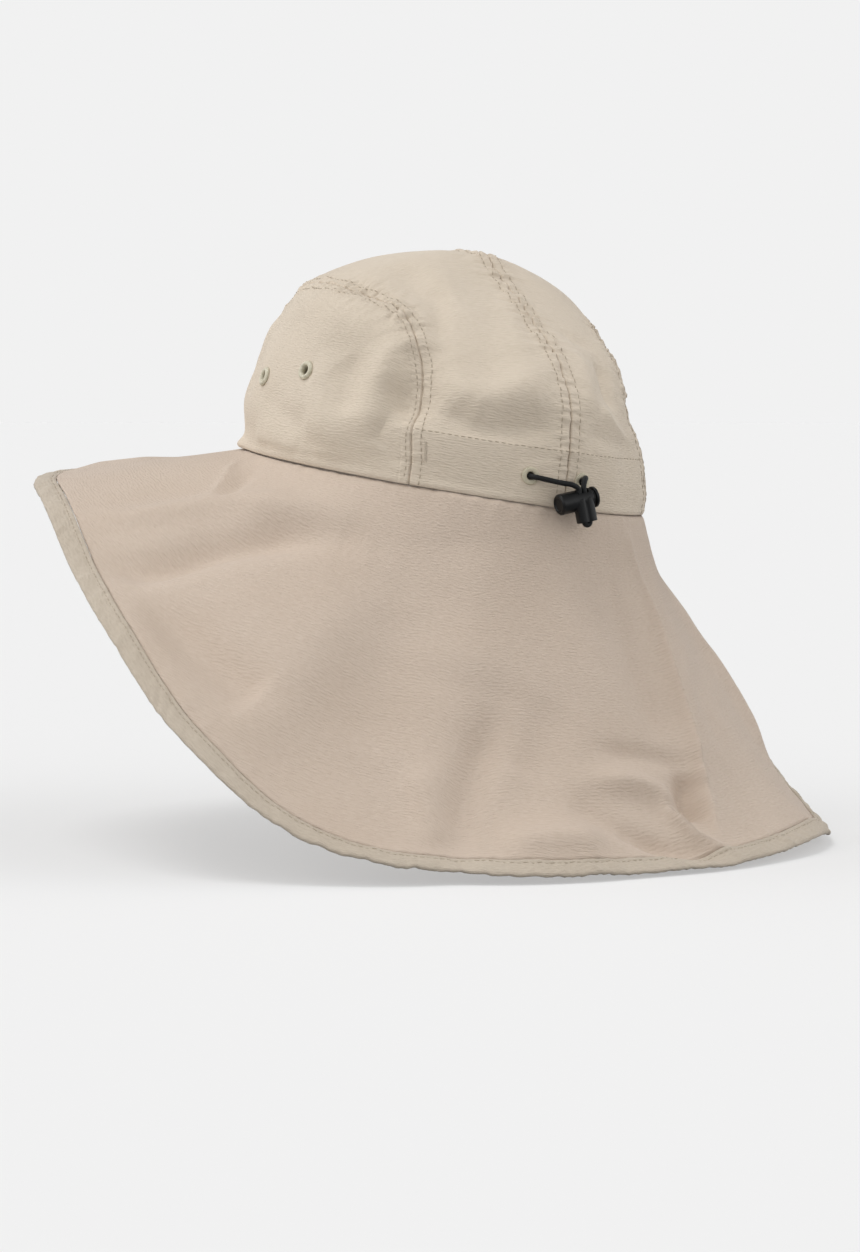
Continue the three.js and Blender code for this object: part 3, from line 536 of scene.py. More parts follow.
def sewn_cloth(name, points, weft, warp, outside, finish, thickness=CLOTH, holes=()):
    """Cloth on a grid of points, with its wall inwards from them. Faces whose middle is in a hole
    are left out."""
    bm = cloth_grid(points, weft, warp)
    for centre, radius in holes:
        inside = [f for f in bm.faces if (f.calc_center_median() - Vector(centre)).length < radius]
        bmesh.ops.delete(bm, geom=inside, context="FACES")
    bm.normal_update()
    facing = sum(f.normal.dot(f.calc_center_median() - Vector(outside)) for f in bm.faces)
    if facing < 0:
        bmesh.ops.reverse_faces(bm, faces=bm.faces)
    made = piece_from(name, bm, finish)
    wall = made.modifiers.new("wall", "SOLIDIFY")
    wall.thickness = thickness
    wall.offset = -1
    return made


CROWN_MIDDLE = (0, 0, 0.03)
HOLE_UNDER_EYELET = 0.0031
# How far the casing reaches up behind the cloth, as a share of the crown's height, and round it in
# degrees, and over how much of either the cloth gets its freedom back
CASING_COVER, COVER_FADE = 0.31, 0.08
CASING_COVER_TURN, COVER_TURN_FADE = 60, 8
PRESSED_IN = 0.0004
FIRM_AT_BASE = 0.06
crown_cloth = crinkled_nylon("crinkled_nylon_crown", CROWN_TONE, CROWN_SHADE)
crown_path = 0.165
head_round = 0.60
base_turns = np.linspace(-180, 180, 721)
base_seam = Seam(crown_point(base_turns, 0 * base_turns), BASE_GATHER, 40.5)
middle_turns = np.repeat([0.0, 180.0], 200)
middle_rises = np.concatenate([np.linspace(0, 1, 200), np.linspace(1, 0, 200)])
middle_seam = Seam(crown_point(middle_turns, middle_rises), MIDDLE_GATHER, 20.5)
arch_seams = {
    side: Seam(crown_point(*arch_line(side, 600)), ARCH_GATHER, 30.5 + side) for side in (1, -1)
}


def crown_relief(turn, rise, seams):
    """Points of a crown panel, with the seams' puckers and the cloth's unevenness added. Where the
    casing and its cord lie behind the cloth, it can hardly be pressed in."""
    base = crown_point(turn, rise)
    relief = crumple(turn, rise) + drawn_folds(base, CROWN_FOLDS, on_crown)
    relief = relief * np.clip(rise / FIRM_AT_BASE, 0, 1)
    over_casing = np.clip((CASING_COVER - base[..., 2] / CROWN_HEIGHT) / COVER_FADE, 0, 1)
    beside = CASING_COVER_TURN - np.abs(turn_between(turn, 0))
    over_casing = over_casing * np.clip(beside / COVER_TURN_FADE, 0, 1)
    relief = relief + (np.maximum(relief, -PRESSED_IN) - relief) * over_casing
    for seam in seams:
        relief = relief + seam.relief(base, seam is not base_seam)
    return base + crown_normal(turn, rise) * (relief * calm(base))[..., None]


def crown_panel(name, turn, rise, weft, warp, seams):
    points = crown_relief(turn, rise, seams)
    holes = [(place, HOLE_UNDER_EYELET) for place in pierced]
    made = sewn_cloth(
        f"{name}_cloth", points, weft, warp, CROWN_MIDDLE, crown_cloth, holes=holes
    )
    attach(made, "hat")
    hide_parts(name)
    return points


def closer_at_ends(count):
    """Places from 0 to 1 that lie closer together at both ends, where the seams are."""
    t = np.linspace(0, 1, count)
    return 0.42 * t + 0.58 * (0.5 - 0.5 * np.cos(np.pi * t))


SIDES = (("left", 1), ("right", -1))
SIDE_COLUMNS, SIDE_ROWS = 500, 88
STRIP_ROWS, STRIP_COLUMNS = 560, 76
STRIP_HALF_WIDTH = 0.058
panel_points = {}
for side_name, side in SIDES:
    arch_turn, arch_rise = arch_line(side, SIDE_COLUMNS + 1)
    foot = np.linspace(arch_turn[0], arch_turn[-1], SIDE_COLUMNS + 1)
    up = closer_at_ends(SIDE_ROWS + 1)[:, None]
    turn = foot + (arch_turn - foot) * up
    rise = arch_rise * up
    name = f"side_panel_{side_name}"
    panel_points[name] = crown_panel(
        name, turn, rise, turn / 360 * head_round, rise * crown_path, [arch_seams[side], base_seam]
    )

for side_name, side in SIDES:
    # The strip between the arch and the middle, as a patch on the crown seen flat from above,
    # where the distance from the top is 1 - rise
    arch_turn, arch_rise = arch_line(side, STRIP_ROWS + 1)
    arch = np.stack([
        (1 - arch_rise) * np.sin(np.radians(arch_turn)),
        (1 - arch_rise) * np.cos(np.radians(arch_turn)),
    ], axis=-1)[:, None]
    s = np.linspace(0, 1, STRIP_ROWS + 1)[:, None, None]
    v = closer_at_ends(STRIP_COLUMNS + 1)[None, :, None]
    middle = np.concatenate([0 * s, 1 - 2 * s], axis=-1)
    back_turn = np.radians(arch_turn[0] * v)
    front_turn = np.radians(180 * side + (arch_turn[-1] - 180 * side) * v)
    back = np.concatenate([np.sin(back_turn), np.cos(back_turn)], axis=-1)
    front = np.concatenate([np.sin(front_turn), np.cos(front_turn)], axis=-1)
    corners = (
        (1 - s) * (1 - v) * back[:, :1] + (1 - s) * v * back[:, -1:]
        + s * (1 - v) * front[:, :1] + s * v * front[:, -1:]
    )
    patch = (1 - v) * middle + v * arch + (1 - s) * back + s * front - corners
    rise = np.clip(1 - np.linalg.norm(patch, axis=-1), 0, 1)
    turn = np.degrees(np.arctan2(patch[..., 0], patch[..., 1]))
    name = f"centre_panel_{side_name}"
    weft = side * v[..., 0] * STRIP_HALF_WIDTH + 0 * turn
    warp = s[..., 0] * 2 * crown_path + 0 * turn
    panel_points[name] = crown_panel(
        name, turn, rise, weft, warp, [arch_seams[side], middle_seam, base_seam]
    )

# Brim and flap: one broad sheet of the same nylon, sewn to the crown all round. It stands out as
# a brim in front, and behind it hangs, flares and falls in soft folds to the neck and shoulders.
FLAP_REACH = 0.095
FLAP_DROP = 0.138
HEM_WIDTH = 0.0105
# The flap's tones are the crown's nylon made darker: painted shade.
FLAP_SHADED_TONE = "#CFBFB0"
FLAP_SHADE = "#C3B1A0"
FLAP_SECTIONS = {
    "turn": (-180, -150, -120, -105, -90, -75, -60, -45, -30, 0, 30, 45, 60, 75, 90, 105, 120, 150,
        180),
    "out": (0.93, 0.95, 0.965, 0.935, 0.94, 1.02, 1.12, 1.09, 1.05, 1.00, 1.05, 1.095, 1.12, 1.03,
        0.95, 0.955, 0.985, 0.95, 0.93),
    "drop": (0.19, 0.20, 0.235, 0.37, 0.61, 0.82, 0.925, 0.90, 0.93, 1.01, 1.07, 1.02, 0.82, 0.60,
        0.435, 0.27, 0.215, 0.205, 0.19),
    "hang": (0.0, 0.0, 0.0, 0.1, 0.25, 0.45, 0.6, 0.8, 1.0, 1.0, 1.0, 0.8, 0.5, 0.25, 0.1, 0.0, 0.0,
        0.0, 0.0),
}
BRIM_RUN = {
    "at": (0.0, 0.25, 0.5, 0.75, 1.0),
    "out": (0.0, 0.25, 0.5, 0.75, 1.0),
    "drop": (0.0, 0.24, 0.49, 0.745, 1.0),
}
FLAP_RUN = {
    "at": (0.0, 0.22, 0.5, 0.75, 0.9, 1.0),
    "out": (0.0, 0.10, 0.37, 0.65, 0.86, 1.0),
    "drop": (0.0, 0.25, 0.55, 0.82, 0.95, 1.0),
}

# Broad folds: turn at the crown, turn at the edge, width in degrees, height as a share of the
# flap's reach, and where along the cloth each is deepest and how far it runs.
FLAP_FOLDS = [
    (100, 112, 15, 0.035, 0.35, 0.3), (96, 60, 13, -0.05, 0.55, 0.3), (62, 24, 5, -0.035, 0.88, 0.2),
    (-18, 24, 5, -0.04, 0.86, 0.22), (24, 24, 7, 0.02, 0.76, 0.14), (8, 8, 8, 0.035, 0.9, 0.16),
    (-14, -14, 6, -0.02, 0.84, 0.12), (-48, -16, 6, 0.05, 0.6, 0.36), (-64, -30, 9, -0.03, 0.55, 0.32),
    (-102, -80, 13, -0.03, 0.6, 0.3), (145, 145, 16, 0.02, 1.0, 0.5), (-145, -145, 16, 0.02, 1.0, 0.5),
]


def flap_point(turn, share):
    """Points on the outer face of brim and flap, with share 0 at the crown and 1 at the edge."""
    turn, share = np.broadcast_arrays(turn, share)
    level = turn_between(turn, 0)
    hang = through(FLAP_SECTIONS, "turn", "hang", level, True)
    reach = through(FLAP_SECTIONS, "turn", "out", level, True)
    drop = through(FLAP_SECTIONS, "turn", "drop", level, True)
    brim_out = through(BRIM_RUN, "at", "out", share)
    brim_drop = through(BRIM_RUN, "at", "drop", share)
    run_out = brim_out + (through(FLAP_RUN, "at", "out", share) - brim_out) * hang
    run_drop = brim_drop + (through(FLAP_RUN, "at", "drop", share) - brim_drop) * hang
    fold = 0.0
    for start, end, wide, high, peak, long in FLAP_FOLDS:
        across = turn_between(turn, start + (end - start) * share) / wide
        down = (share - peak) / long
        fold = fold + high * np.exp(-across**2 - down**2)
    angle = np.radians(turn)
    out = FLAP_REACH * (reach * run_out + fold * hang * share) - CLOTH * (1 - hang)
    lift = FLAP_REACH * fold * (1 - hang) * share
    return np.stack([
        (HEAD_WIDTH / 2 + out) * np.sin(angle),
        (HEAD_LENGTH / 2 + out) * np.cos(angle),
        lift - FLAP_DROP * drop * run_drop - GAP,
    ], axis=-1)


def flap_length(turn):
    """The cloth's length from the crown to its free edge."""
    shares = np.linspace(0, 1, 25)
    line = flap_point(np.asarray(turn)[..., None], shares)
    return np.sum(np.linalg.norm(np.diff(line, axis=-2), axis=-1), axis=-1)


def flap_normal(turn, share):
    step, round_step = 0.01, 0.4
    down = flap_point(turn, np.clip(share + step, 0, 1)) - flap_point(turn, np.clip(share - step, 0, 1))
    round_hat = flap_point(turn + round_step, share) - flap_point(turn - round_step, share)
    return unit(np.cross(round_hat, down))


FLAP_COLUMNS, FLAP_ROWS = 560, 84
CROWDED_BEHIND = 0.35
round_share = np.linspace(-1, 1, FLAP_COLUMNS + 1)
flap_turns = 180 * (round_share - CROWDED_BEHIND * np.sin(np.pi * round_share) / np.pi)
flap_turn, flap_share = np.meshgrid(flap_turns, np.linspace(0, 1, FLAP_ROWS + 1))
cloth_length = flap_length(flap_turn[0])
flap_down = flap_share * (cloth_length - HEM_WIDTH - GAP)
to_edge = (cloth_length - HEM_WIDTH) - flap_down
flap_share = flap_down / cloth_length

# Finer folds, as turns and shares of the way down: first the roll and the hollow under the crown's
# left side, then the lower shelf, the pocket and the long ridge, last those of the right and front.
FLAP_DRAPE = [
    (SOFT, 8, 4.0, [(100.6, 0.89), (95.2, 0.682), (90.8, 0.485), (84.8, 0.308), (72.6, 0.201),
        (58, 0.137)]),
    (SOFT, 10, -9.5, [(91.2, 0.933), (83.8, 0.712), (78, 0.475), (69.4, 0.314), (56.4, 0.217)]),
    (CREASE, 3, 1.6, [(90.2, 0.341), (93.4, 0.244), (100.4, 0.12)]),
    (SOFT, 4.5, -2.0, [(86.4, 0.331), (88.2, 0.237), (91.8, 0.117)]),
    (SOFT, 11, -6.6, [(80, 0.806), (68.8, 0.756), (58.8, 0.739), (55.2, 0.732)]),
    (SOFT, 17, 3.4, [(55.8, 0.906), (53.6, 0.706), (50.8, 0.488), (46.6, 0.261)]),
    (SOFT, 9, 1.8, [(81.4, 0.923), (69.8, 0.92), (59.8, 0.906)]),
    (SOFT, 15, -2.2, [(39.8, 0.298), (38.8, 0.505), (38, 0.702)]),
    (SOFT, 24, 3.4, [(26, 0.11), (23.8, 0.311), (25.6, 0.492)]),
    (SOFT, 9, -6.0, [(16.6, 0.508), (20.2, 0.656), (22.8, 0.796), (24, 0.953)]),
    (SOFT, 10, 3.0, [(31, 0.676), (27.6, 0.793), (25.8, 0.91)]),
    (SOFT, 12, -2.2, [(4, 0.505), (10.2, 0.615), (13.2, 0.702)]),
    (SOFT, 11, 7.0, [(18, 0.926), (12.6, 0.886), (6.6, 0.88), (0.8, 0.9)]),
    (SOFT, 6, -2.6, [(5.6, 0.753), (-0.6, 0.826), (-6.2, 0.893)]),
    (SOFT, 6, 5.5, [(1.6, 0.709), (-7, 0.719), (-12.4, 0.756), (-13.6, 0.809)]),
    (CREASE, 3.2, 6.2, [(-11.4, 0.789), (-13, 0.833), (-15, 0.883), (-17.6, 0.923), (-19.8, 0.957)]),
    (SOFT, 7, -9.0, [(-22.6, 0.702), (-19.2, 0.766), (-18.6, 0.833)]),
    (SOFT, 5, -8.0, [(-3.8, 0.86), (-8.2, 0.903), (-13.2, 0.936), (-17.4, 0.973)]),
    (SOFT, 4.5, -3.0, [(-2.8, 0.635), (-12.8, 0.652), (-23.6, 0.686)]),
    (CREASE, 3.4, 6.2, [(-28.4, 0.07), (-32, 0.217), (-30.4, 0.331), (-27.8, 0.462), (-26, 0.579),
        (-24, 0.689), (-22.4, 0.783), (-20, 0.876)]),
    (SOFT, 9, -3.4, [(-19, 0.154), (-19.6, 0.351), (-19, 0.515), (-20.4, 0.632)]),
    (SOFT, 8, -1.4, [(-92, 0.622), (-39, 0.518), (-39, 0.689)]),
    (SOFT, 6, 2.2, [(-62.8, 0.351), (-61.8, 0.555), (-57.6, 0.746)]),
    (SOFT, 14, 4.0, [(-70, 0.2), (-64, 0.5), (-60, 0.8)]),
    (SOFT, 13, -4.0, [(-84, 0.24), (-80, 0.52), (-78, 0.8)]),
    (SOFT, 12, 3.0, [(-112, 0.3), (-104, 0.56), (-98, 0.84)]),
    (SOFT, 14, 2.6, [(128, 0.4), (132, 0.65), (134, 0.9)]),
    (SOFT, 15, -2.6, [(-140, 0.35), (-150, 0.65), (-156, 0.9)]),
]

# Mean radius of the flap's edge and of the crown's seam, and the degrees over which the noise fades
# where its two ends meet in front
EDGE_RADIUS_MM, CROWN_RADIUS_MM = 190, 95
JOIN_FADE = 4


def flap_relief(turn, down, to_hem):
    """Unevenness of the flap, in metres: slow waves, short gathers and a tuck under the crown's
    seam, and puckers that run up from the hem's stitching. They fade where the noise's ends meet."""
    angle = np.radians(turn)
    x, y = np.sin(angle), np.cos(angle)
    slow = ripple(x * 2.6, y * 2.6, down * 14)
    brisk = ripple(x * 6.5, y * 6.5, down * 30 + 4)
    small = ripple(x * 17, y * 17, down * 75 + 8)
    round_mm = angle * EDGE_RADIUS_MM
    hem = (np.abs(ripple(round_mm / 5.0, to_hem * 60, 3.3)) - 0.2) * np.exp(-((to_hem * 1000 / 7) ** 2))
    seam = ripple(angle * CROWN_RADIUS_MM / 5, down * 60, 6.1) * np.exp(-((down * 1000 / 7) ** 2))
    tucked = -0.6 * np.cos(angle / 2) ** 2 * np.exp(-((down * 1000 / 1.0) ** 2))
    settled = np.clip(down / 0.02, 0, 1)
    body = (1.0 * slow + 0.42 * brisk + 0.12 * small) * settled
    joined = np.clip((180 - np.abs(turn)) / JOIN_FADE, 0, 1)
    return (body + (0.9 * hem + 0.5 * seam) * joined + tucked) / 1000


flap_normals = flap_normal(flap_turn, flap_share)
flap_points = flap_point(flap_turn, flap_share)
flap_lift = flap_relief(flap_turn, flap_down, to_edge)
# The stiff hem keeps this share of each fold, and the cloth just above it follows
HEM_HOLDS = 0.5
HELD_ABOVE_HEM = 0.014
held = 1 - (1 - HEM_HOLDS) * np.clip(1 - to_edge / HELD_ABOVE_HEM, 0, 1)
flap_lift += drawn_folds(flap_points, FLAP_DRAPE, flap_point) * held
flap_points = flap_points + flap_normals * flap_lift[..., None]
flap_cloth = crinkled_nylon("crinkled_nylon_flap", FLAP_SHADED_TONE, FLAP_SHADE)
FLAP_MIDDLE = (0, 0, -0.30)
MEAN_RADIUS = 0.14
flap_weft = np.radians(flap_turn) * MEAN_RADIUS
flap = sewn_cloth("brim_flap_cloth", flap_points, flap_weft, -flap_down, FLAP_MIDDLE, flap_cloth)
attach(flap, "hat")
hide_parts("brim_flap")

# Hem: the sheet's free edge turned under twice and topstitched near its inner edge. The doubled
# cloth is a little proud and greyer, and the thread draws it into short slanting ripples.
HEM_WALL = 0.0022
HEM_TONE = "#C8BCAC"
HEM_SHADE = "#B9AC9B"
HEM_COLUMNS = 1040
HEM_SECTION = {
    "across": (0.0, 0.0, 0.03, 0.12, 0.2, 0.3, 0.45, 0.6, 0.75, 0.88, 0.96, 1.0, 0.96, 0.88, 0.6, 0.3,
        0.1, 0.0, 0.0),
    "up": (0.10, 0.38, 0.5, 0.53, 0.42, 0.5, 0.55, 0.55, 0.53, 0.48, 0.34, 0.0, -0.34, -0.48, -0.53,
        -0.5, -0.5, -0.4, 0.10),
}


def hem_point(turn, across, up):
    """A place in the hem: across runs from the flap to the edge, up is a share of its wall."""
    length = flap_length(turn)
    share = 1 - HEM_WIDTH / length * (1 - across)
    round_mm = np.radians(turn) * EDGE_RADIUS_MM
    slant = round_mm + across * 7.0
    ripples = 1.4 * (np.abs(ripple(slant / 5.0, across * 1.2, 2.2)) - 0.2)
    ripples = ripples + 0.7 * ripple(slant / 9, across, 7.7)
    edge_wave = 0.35 * ripple(round_mm / 11, 4.4, across)
    joined = np.clip((180 - np.abs(turn)) / JOIN_FADE, 0, 1)
    rippled = joined * (ripples * np.clip(across * 6, 0.35, 1) + edge_wave * across) / 1000
    base = flap_point(turn, share)
    folds = drawn_folds(base, FLAP_DRAPE, flap_point) * HEM_HOLDS
    lift = up * HEM_WALL - CLOTH / 2 + rippled + folds
    return base + flap_normal(turn, share) * lift[..., None]


hem_turn = np.linspace(-180, 180, HEM_COLUMNS + 1)[None, :]
hem_across = np.array(HEM_SECTION["across"])[:, None]
hem_up = np.array(HEM_SECTION["up"])[:, None]
hem_turn, hem_across, hem_up = np.broadcast_arrays(hem_turn, hem_across, hem_up)
hem_points = hem_point(hem_turn, hem_across, hem_up)
hem_cloth = crinkled_nylon("crinkled_nylon_hem", HEM_TONE, HEM_SHADE)
HEM_ROW = 0.0012
hem_weft = np.radians(hem_turn) * EDGE_RADIUS_MM / 1000
hem_warp = np.arange(len(hem_points))[:, None] * HEM_ROW + 0 * hem_turn
bm = cloth_grid(hem_points, hem_weft, hem_warp)
bmesh.ops.recalc_face_normals(bm, faces=bm.faces)
hem = piece_from("hem_band_cloth", bm, hem_cloth)
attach(hem, "hat")
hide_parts("hem_band")

# Topstitching: polyester thread made a little darker than the cloth, as painted shade of the dimples it is
# pulled into, one lockstitch every few millimetres, on both sides of each crown seam, along the hem and
# along the casing.
STITCH_PITCH = 0.0029
STITCH_LENGTH = 0.0021
STITCH_JITTER = 0.00006
THREAD = 0.00045
# Darker than the cloth: painted shade of the stitch dimples.
THREAD_SHADED_TONE = "#B4A692"
CASING_HEIGHT = 0.0245
CASING_HALF_ANGLE = 44
rng = np.random.default_rng(11)


def polyester_thread(name, tone):
    """Spun polyester thread: matte, a little darker in small random flecks, as painted shade where it sinks
    in.
    """
    finish, tree = new_finish(name, {"Roughness": 0.75})
    # Painted shade: a darker tone for where the thread sinks in, spread by random noise.
    dimple_shade_tone = [c * 0.82 for c in linear(tone)[:3]] + [1.0]
    coloured(tree, dimple_shade_tone, linear(tone), (grain(tree, 0.9, 1.0), "Fac"))
    return finish


thread = polyester_thread("polyester_thread", THREAD_SHADED_TONE)


TOO_SHORT = 1.6


def inset_line(points, distance):
    """For each column of a grid, the point that lies a distance in from the first row. Columns
    that are too short are left out."""
    steps = np.linalg.norm(np.diff(points, axis=0), axis=-1)
    along = np.vstack([np.zeros((1, steps.shape[1])), np.cumsum(steps, axis=0)])
    line = []
    for column in range(points.shape[1]):
        if along[-1, column] > TOO_SHORT * distance:
            line.append([np.interp(distance, along[:, column], points[:, column, i]) for i in range(3)])
    return np.array(line)


def stitches_along(line, outside, pitch=STITCH_PITCH, length=STITCH_LENGTH):
    """Places for stitches along a line: one matrix of axes, sized for a stitch, and one point for
    each. The stitches face away from the point outside."""
    count = int(np.sum(np.linalg.norm(np.diff(line, axis=0), axis=-1)) / pitch)
    fine = evenly(line, count * 2 + 1)
    middle = fine[1::2]
    along = unit(fine[2::2] - fine[:-2:2])
    normal = middle - np.array(outside)
    normal = unit(normal - along * np.sum(normal * along, axis=-1, keepdims=True))
    across = np.cross(normal, along)
    long = length / 2 + rng.normal(0, STITCH_JITTER, count)[:, None]
    aside = rng.normal(0, STITCH_JITTER, count)[:, None]
    axes = np.stack([along * long, across * THREAD / 2, normal * THREAD / 2.4], axis=1)
    return axes, middle + across * aside + normal * THREAD * 0.12


def sewn(name, rows, finish):
    """One piece of many stitches. Each is a small ball drawn out along the thread."""
    ball = bmesh.new()
    bmesh.ops.create_uvsphere(
        ball, u_segments=6, v_segments=5, radius=1, matrix=Matrix.Rotation(math.pi / 2, 4, "Y")
    )
    ball.verts.index_update()
    shape = np.array([vert.co for vert in ball.verts])
    faces = [[vert.index for vert in face.verts] for face in ball.faces]
    ball.free()
    axes = np.concatenate([row[0] for row in rows])
    places = np.concatenate([row[1] for row in rows])
    verts = np.einsum("vi,sij->svj", shape, axes) + places[:, None]
    repeated = [[v + s * len(shape) for v in face] for s in range(len(places)) for face in faces]
    mesh = bpy.data.meshes.new(name)
    mesh.from_pydata(verts.reshape(-1, 3).tolist(), [], repeated)
    bm = bmesh.new()
    bm.from_mesh(mesh)
    bpy.data.meshes.remove(mesh)
    bmesh.ops.recalc_face_normals(bm, faces=bm.faces)
    return piece_from(name, bm, finish)


rows = []
for side_name, side in SIDES:
    side_grid = panel_points[f"side_panel_{side_name}"]
    strip_grid = panel_points[f"centre_panel_{side_name}"].transpose(1, 0, 2)
    for grid in (side_grid[::-1], strip_grid, strip_grid[::-1]):
        rows.append(stitches_along(inset_line(grid, TOPSTITCH), CROWN_MIDDLE))
seam_stitches = sewn("seam_stitches", rows, thread)

graph = bpy.context.evaluated_depsgraph_get()
panel_skins = [BVHTree.FromObject(bpy.data.objects[f"{name}_cloth"], graph) for name in panel_points]


def laid_on_crown(points):
    """Moves points to the nearest place on the panels."""
    laid = []
    for point in points:
        found = [skin.find_nearest(Vector(point)) for skin in panel_skins]
        laid.append(min(found, key=lambda hit: hit[3])[0])
    return np.array(laid)


casing_turn = np.linspace(-CASING_HALF_ANGLE, CASING_HALF_ANGLE, 300)
casing_line = laid_on_crown(near_crown(casing_turn, CASING_HEIGHT / CROWN_HEIGHT, 0.0005))
casing_stitches = sewn("casing_stitches", [stitches_along(casing_line, CROWN_MIDDLE)], thread)

stitch_turn = np.linspace(-180, 180, 1600)
STITCH_IN_HEM = 0.2
hem_line = hem_point(stitch_turn, np.full(1600, STITCH_IN_HEM), np.full(1600, 0.42))
hem_stitches = sewn("hem_stitches", [stitches_along(hem_line, FLAP_MIDDLE)], thread)
for made in (seam_stitches, casing_stitches, hem_stitches):
    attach(made, "hat")

# Vent eyelets: rolled steel rings painted to match the cloth, two in each side panel. The paint is satin,
# and a little lighter in random specks, where it wears.
VENT_TONE = "#C6BFA8"
VENT_WORN = "#D6D0BC"
VENT_PROFILE = [
    (0.0030, -0.0022), (0.0020, -0.0022), (0.0020, 0.0003), (0.0022, 0.0009), (0.0026, 0.0013),
    (0.0031, 0.00145), (0.0036, 0.0013), (0.0041, 0.0009), (0.0044, 0.0003), (0.0042, -0.0001),
    (0.0037, -0.0002), (0.0026, -0.0002), (0.0026, -0.0017), (0.0040, -0.0018), (0.0040, -0.0023),
    (0.0030, -0.0022),
]


def satin_paint(name, tone, worn):
    """Satin paint on a rolled steel ring, a little lighter where handling has worn it."""
    finish, tree = new_finish(name, {"Roughness": 0.42, "Coat Weight": 0.15})
    specks = grain(tree, 1.2, 3.0)
    wear = add_node(
        tree, "ShaderNodeMapRange", None, {"From Min": 0.45, "From Max": 0.7}, {"Value": (specks, "Fac")}
    )
    coloured(tree, linear(tone), linear(worn), (wear, "Result"))
    bumped(tree, 0.2, 0.0001, (specks, "Fac"))
    return finish


def spun(profile, steps):
    """A closed profile of radius and height turned round the z axis."""
    bm = bmesh.new()
    verts = [bm.verts.new((radius, 0, height)) for radius, height in profile[:-1]]
    edges = [bm.edges.new((verts[i - 1], verts[i])) for i in range(len(verts))]
    bmesh.ops.spin(
        bm, geom=verts + edges, cent=(0, 0, 0), axis=(0, 0, 1), angle=2 * math.pi,
        steps=steps, use_merge=True,
    )
    bmesh.ops.remove_doubles(bm, verts=bm.verts, dist=1e-6)
    bmesh.ops.recalc_face_normals(bm, faces=bm.faces)
    return bm


def stand_on_crown(bm, turn, height):
    """Moves what was made along z to stand on the crown's face."""
    rise = rise_at(height)
    place = Vector(crown_point(turn, rise))
    normal = Vector(crown_normal(np.array(turn, dtype=float), np.array(rise)))
    upright = Vector((0, 0, 1)).rotation_difference(normal).to_matrix().to_4x4()
    bmesh.ops.transform(bm, matrix=Matrix.Translation(place) @ upright, verts=bm.verts)


vent_paint = satin_paint("satin_paint_on_steel", VENT_TONE, VENT_WORN)
for side_name, side in SIDES:
    for vent in vents:
        bm = spun(VENT_PROFILE, 40)
        stand_on_crown(bm, side * vent["turn"], vent["height"])
        node = f"vent_eyelet_{side_name}_{vent['name']}"
        eyelet = piece_from(f"{node}_painted", bm, vent_paint)
        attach(eyelet, "hat")
        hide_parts(node)

# Cord rings: buttonhole eyelets, overcast with thread round the hole, where the drawcord comes
# out of its casing.
RING_INNER = 0.0017
RING_OUTER = 0.0039
RING_STITCHES = 30
RING_TONE = "#C9C1AA"
ring_thread = polyester_thread("polyester_thread_ring", RING_TONE)
for cord_exit in cord_exits:
    steps = RING_STITCHES * 6
    middle_radius = (RING_INNER + RING_OUTER) / 2
    half_width = (RING_OUTER - RING_INNER) / 2
    bm = bmesh.new()
    bmesh.ops.create_grid(bm, x_segments=steps, y_segments=12, size=1)
    for vert in bm.verts:
        round_ring = (vert.co.x + 1) * math.pi
        round_roll = (vert.co.y + 1) * math.pi
        lobe = 0.00011 * abs(math.cos(round_ring * RING_STITCHES / 2)) - 0.00006
        roll = half_width + lobe
        radius = middle_radius + roll * math.cos(round_roll)
        height = 0.0003 + (0.00055 + lobe) * math.sin(round_roll)
        vert.co = (radius * math.cos(round_ring), radius * math.sin(round_ring), height)
    bmesh.ops.remove_doubles(bm, verts=bm.verts, dist=1e-6)
    bmesh.ops.recalc_face_normals(bm, faces=bm.faces)
    stand_on_crown(bm, cord_exit["turn"], cord_exit["height"])
    node = f"cord_ring_{cord_exit['name']}"
    ring = piece_from(f"{node}_overcast", bm, ring_thread)
    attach(ring, "hat")
    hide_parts(node)

# Bartacks: short dense bars of zigzag stitches that end the casing's stitching on each side.
BARTACK_LENGTH = 0.0085
BARTACK_BARS = 26
BARTACK_TONE = "#CBBEAC"
BARTACK_FOOT = 0.0110
bars = []
for turn in (CASING_HALF_ANGLE - 3.5, -CASING_HALF_ANGLE + 1.0):
    heights = np.linspace(BARTACK_FOOT, BARTACK_FOOT + BARTACK_LENGTH, BARTACK_BARS) / CROWN_HEIGHT
    for i, height in enumerate(heights):
        ends = laid_on_crown(near_crown(np.array([turn - 0.5, turn + 0.5]), height, 0.0003))
        slope = BARTACK_LENGTH / BARTACK_BARS * (0.4 if i % 2 else -0.4)
        ends = ends + np.array([[0, 0, -slope], [0, 0, slope]])
        width = float(np.linalg.norm(ends[1] - ends[0]))
        bars.append(stitches_along(ends, CROWN_MIDDLE, pitch=width * 0.9, length=width))
bartack_thread = polyester_thread("bartack_thread", BARTACK_TONE)
bartacks = sewn("bartacks", bars, bartack_thread)
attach(bartacks, "hat")

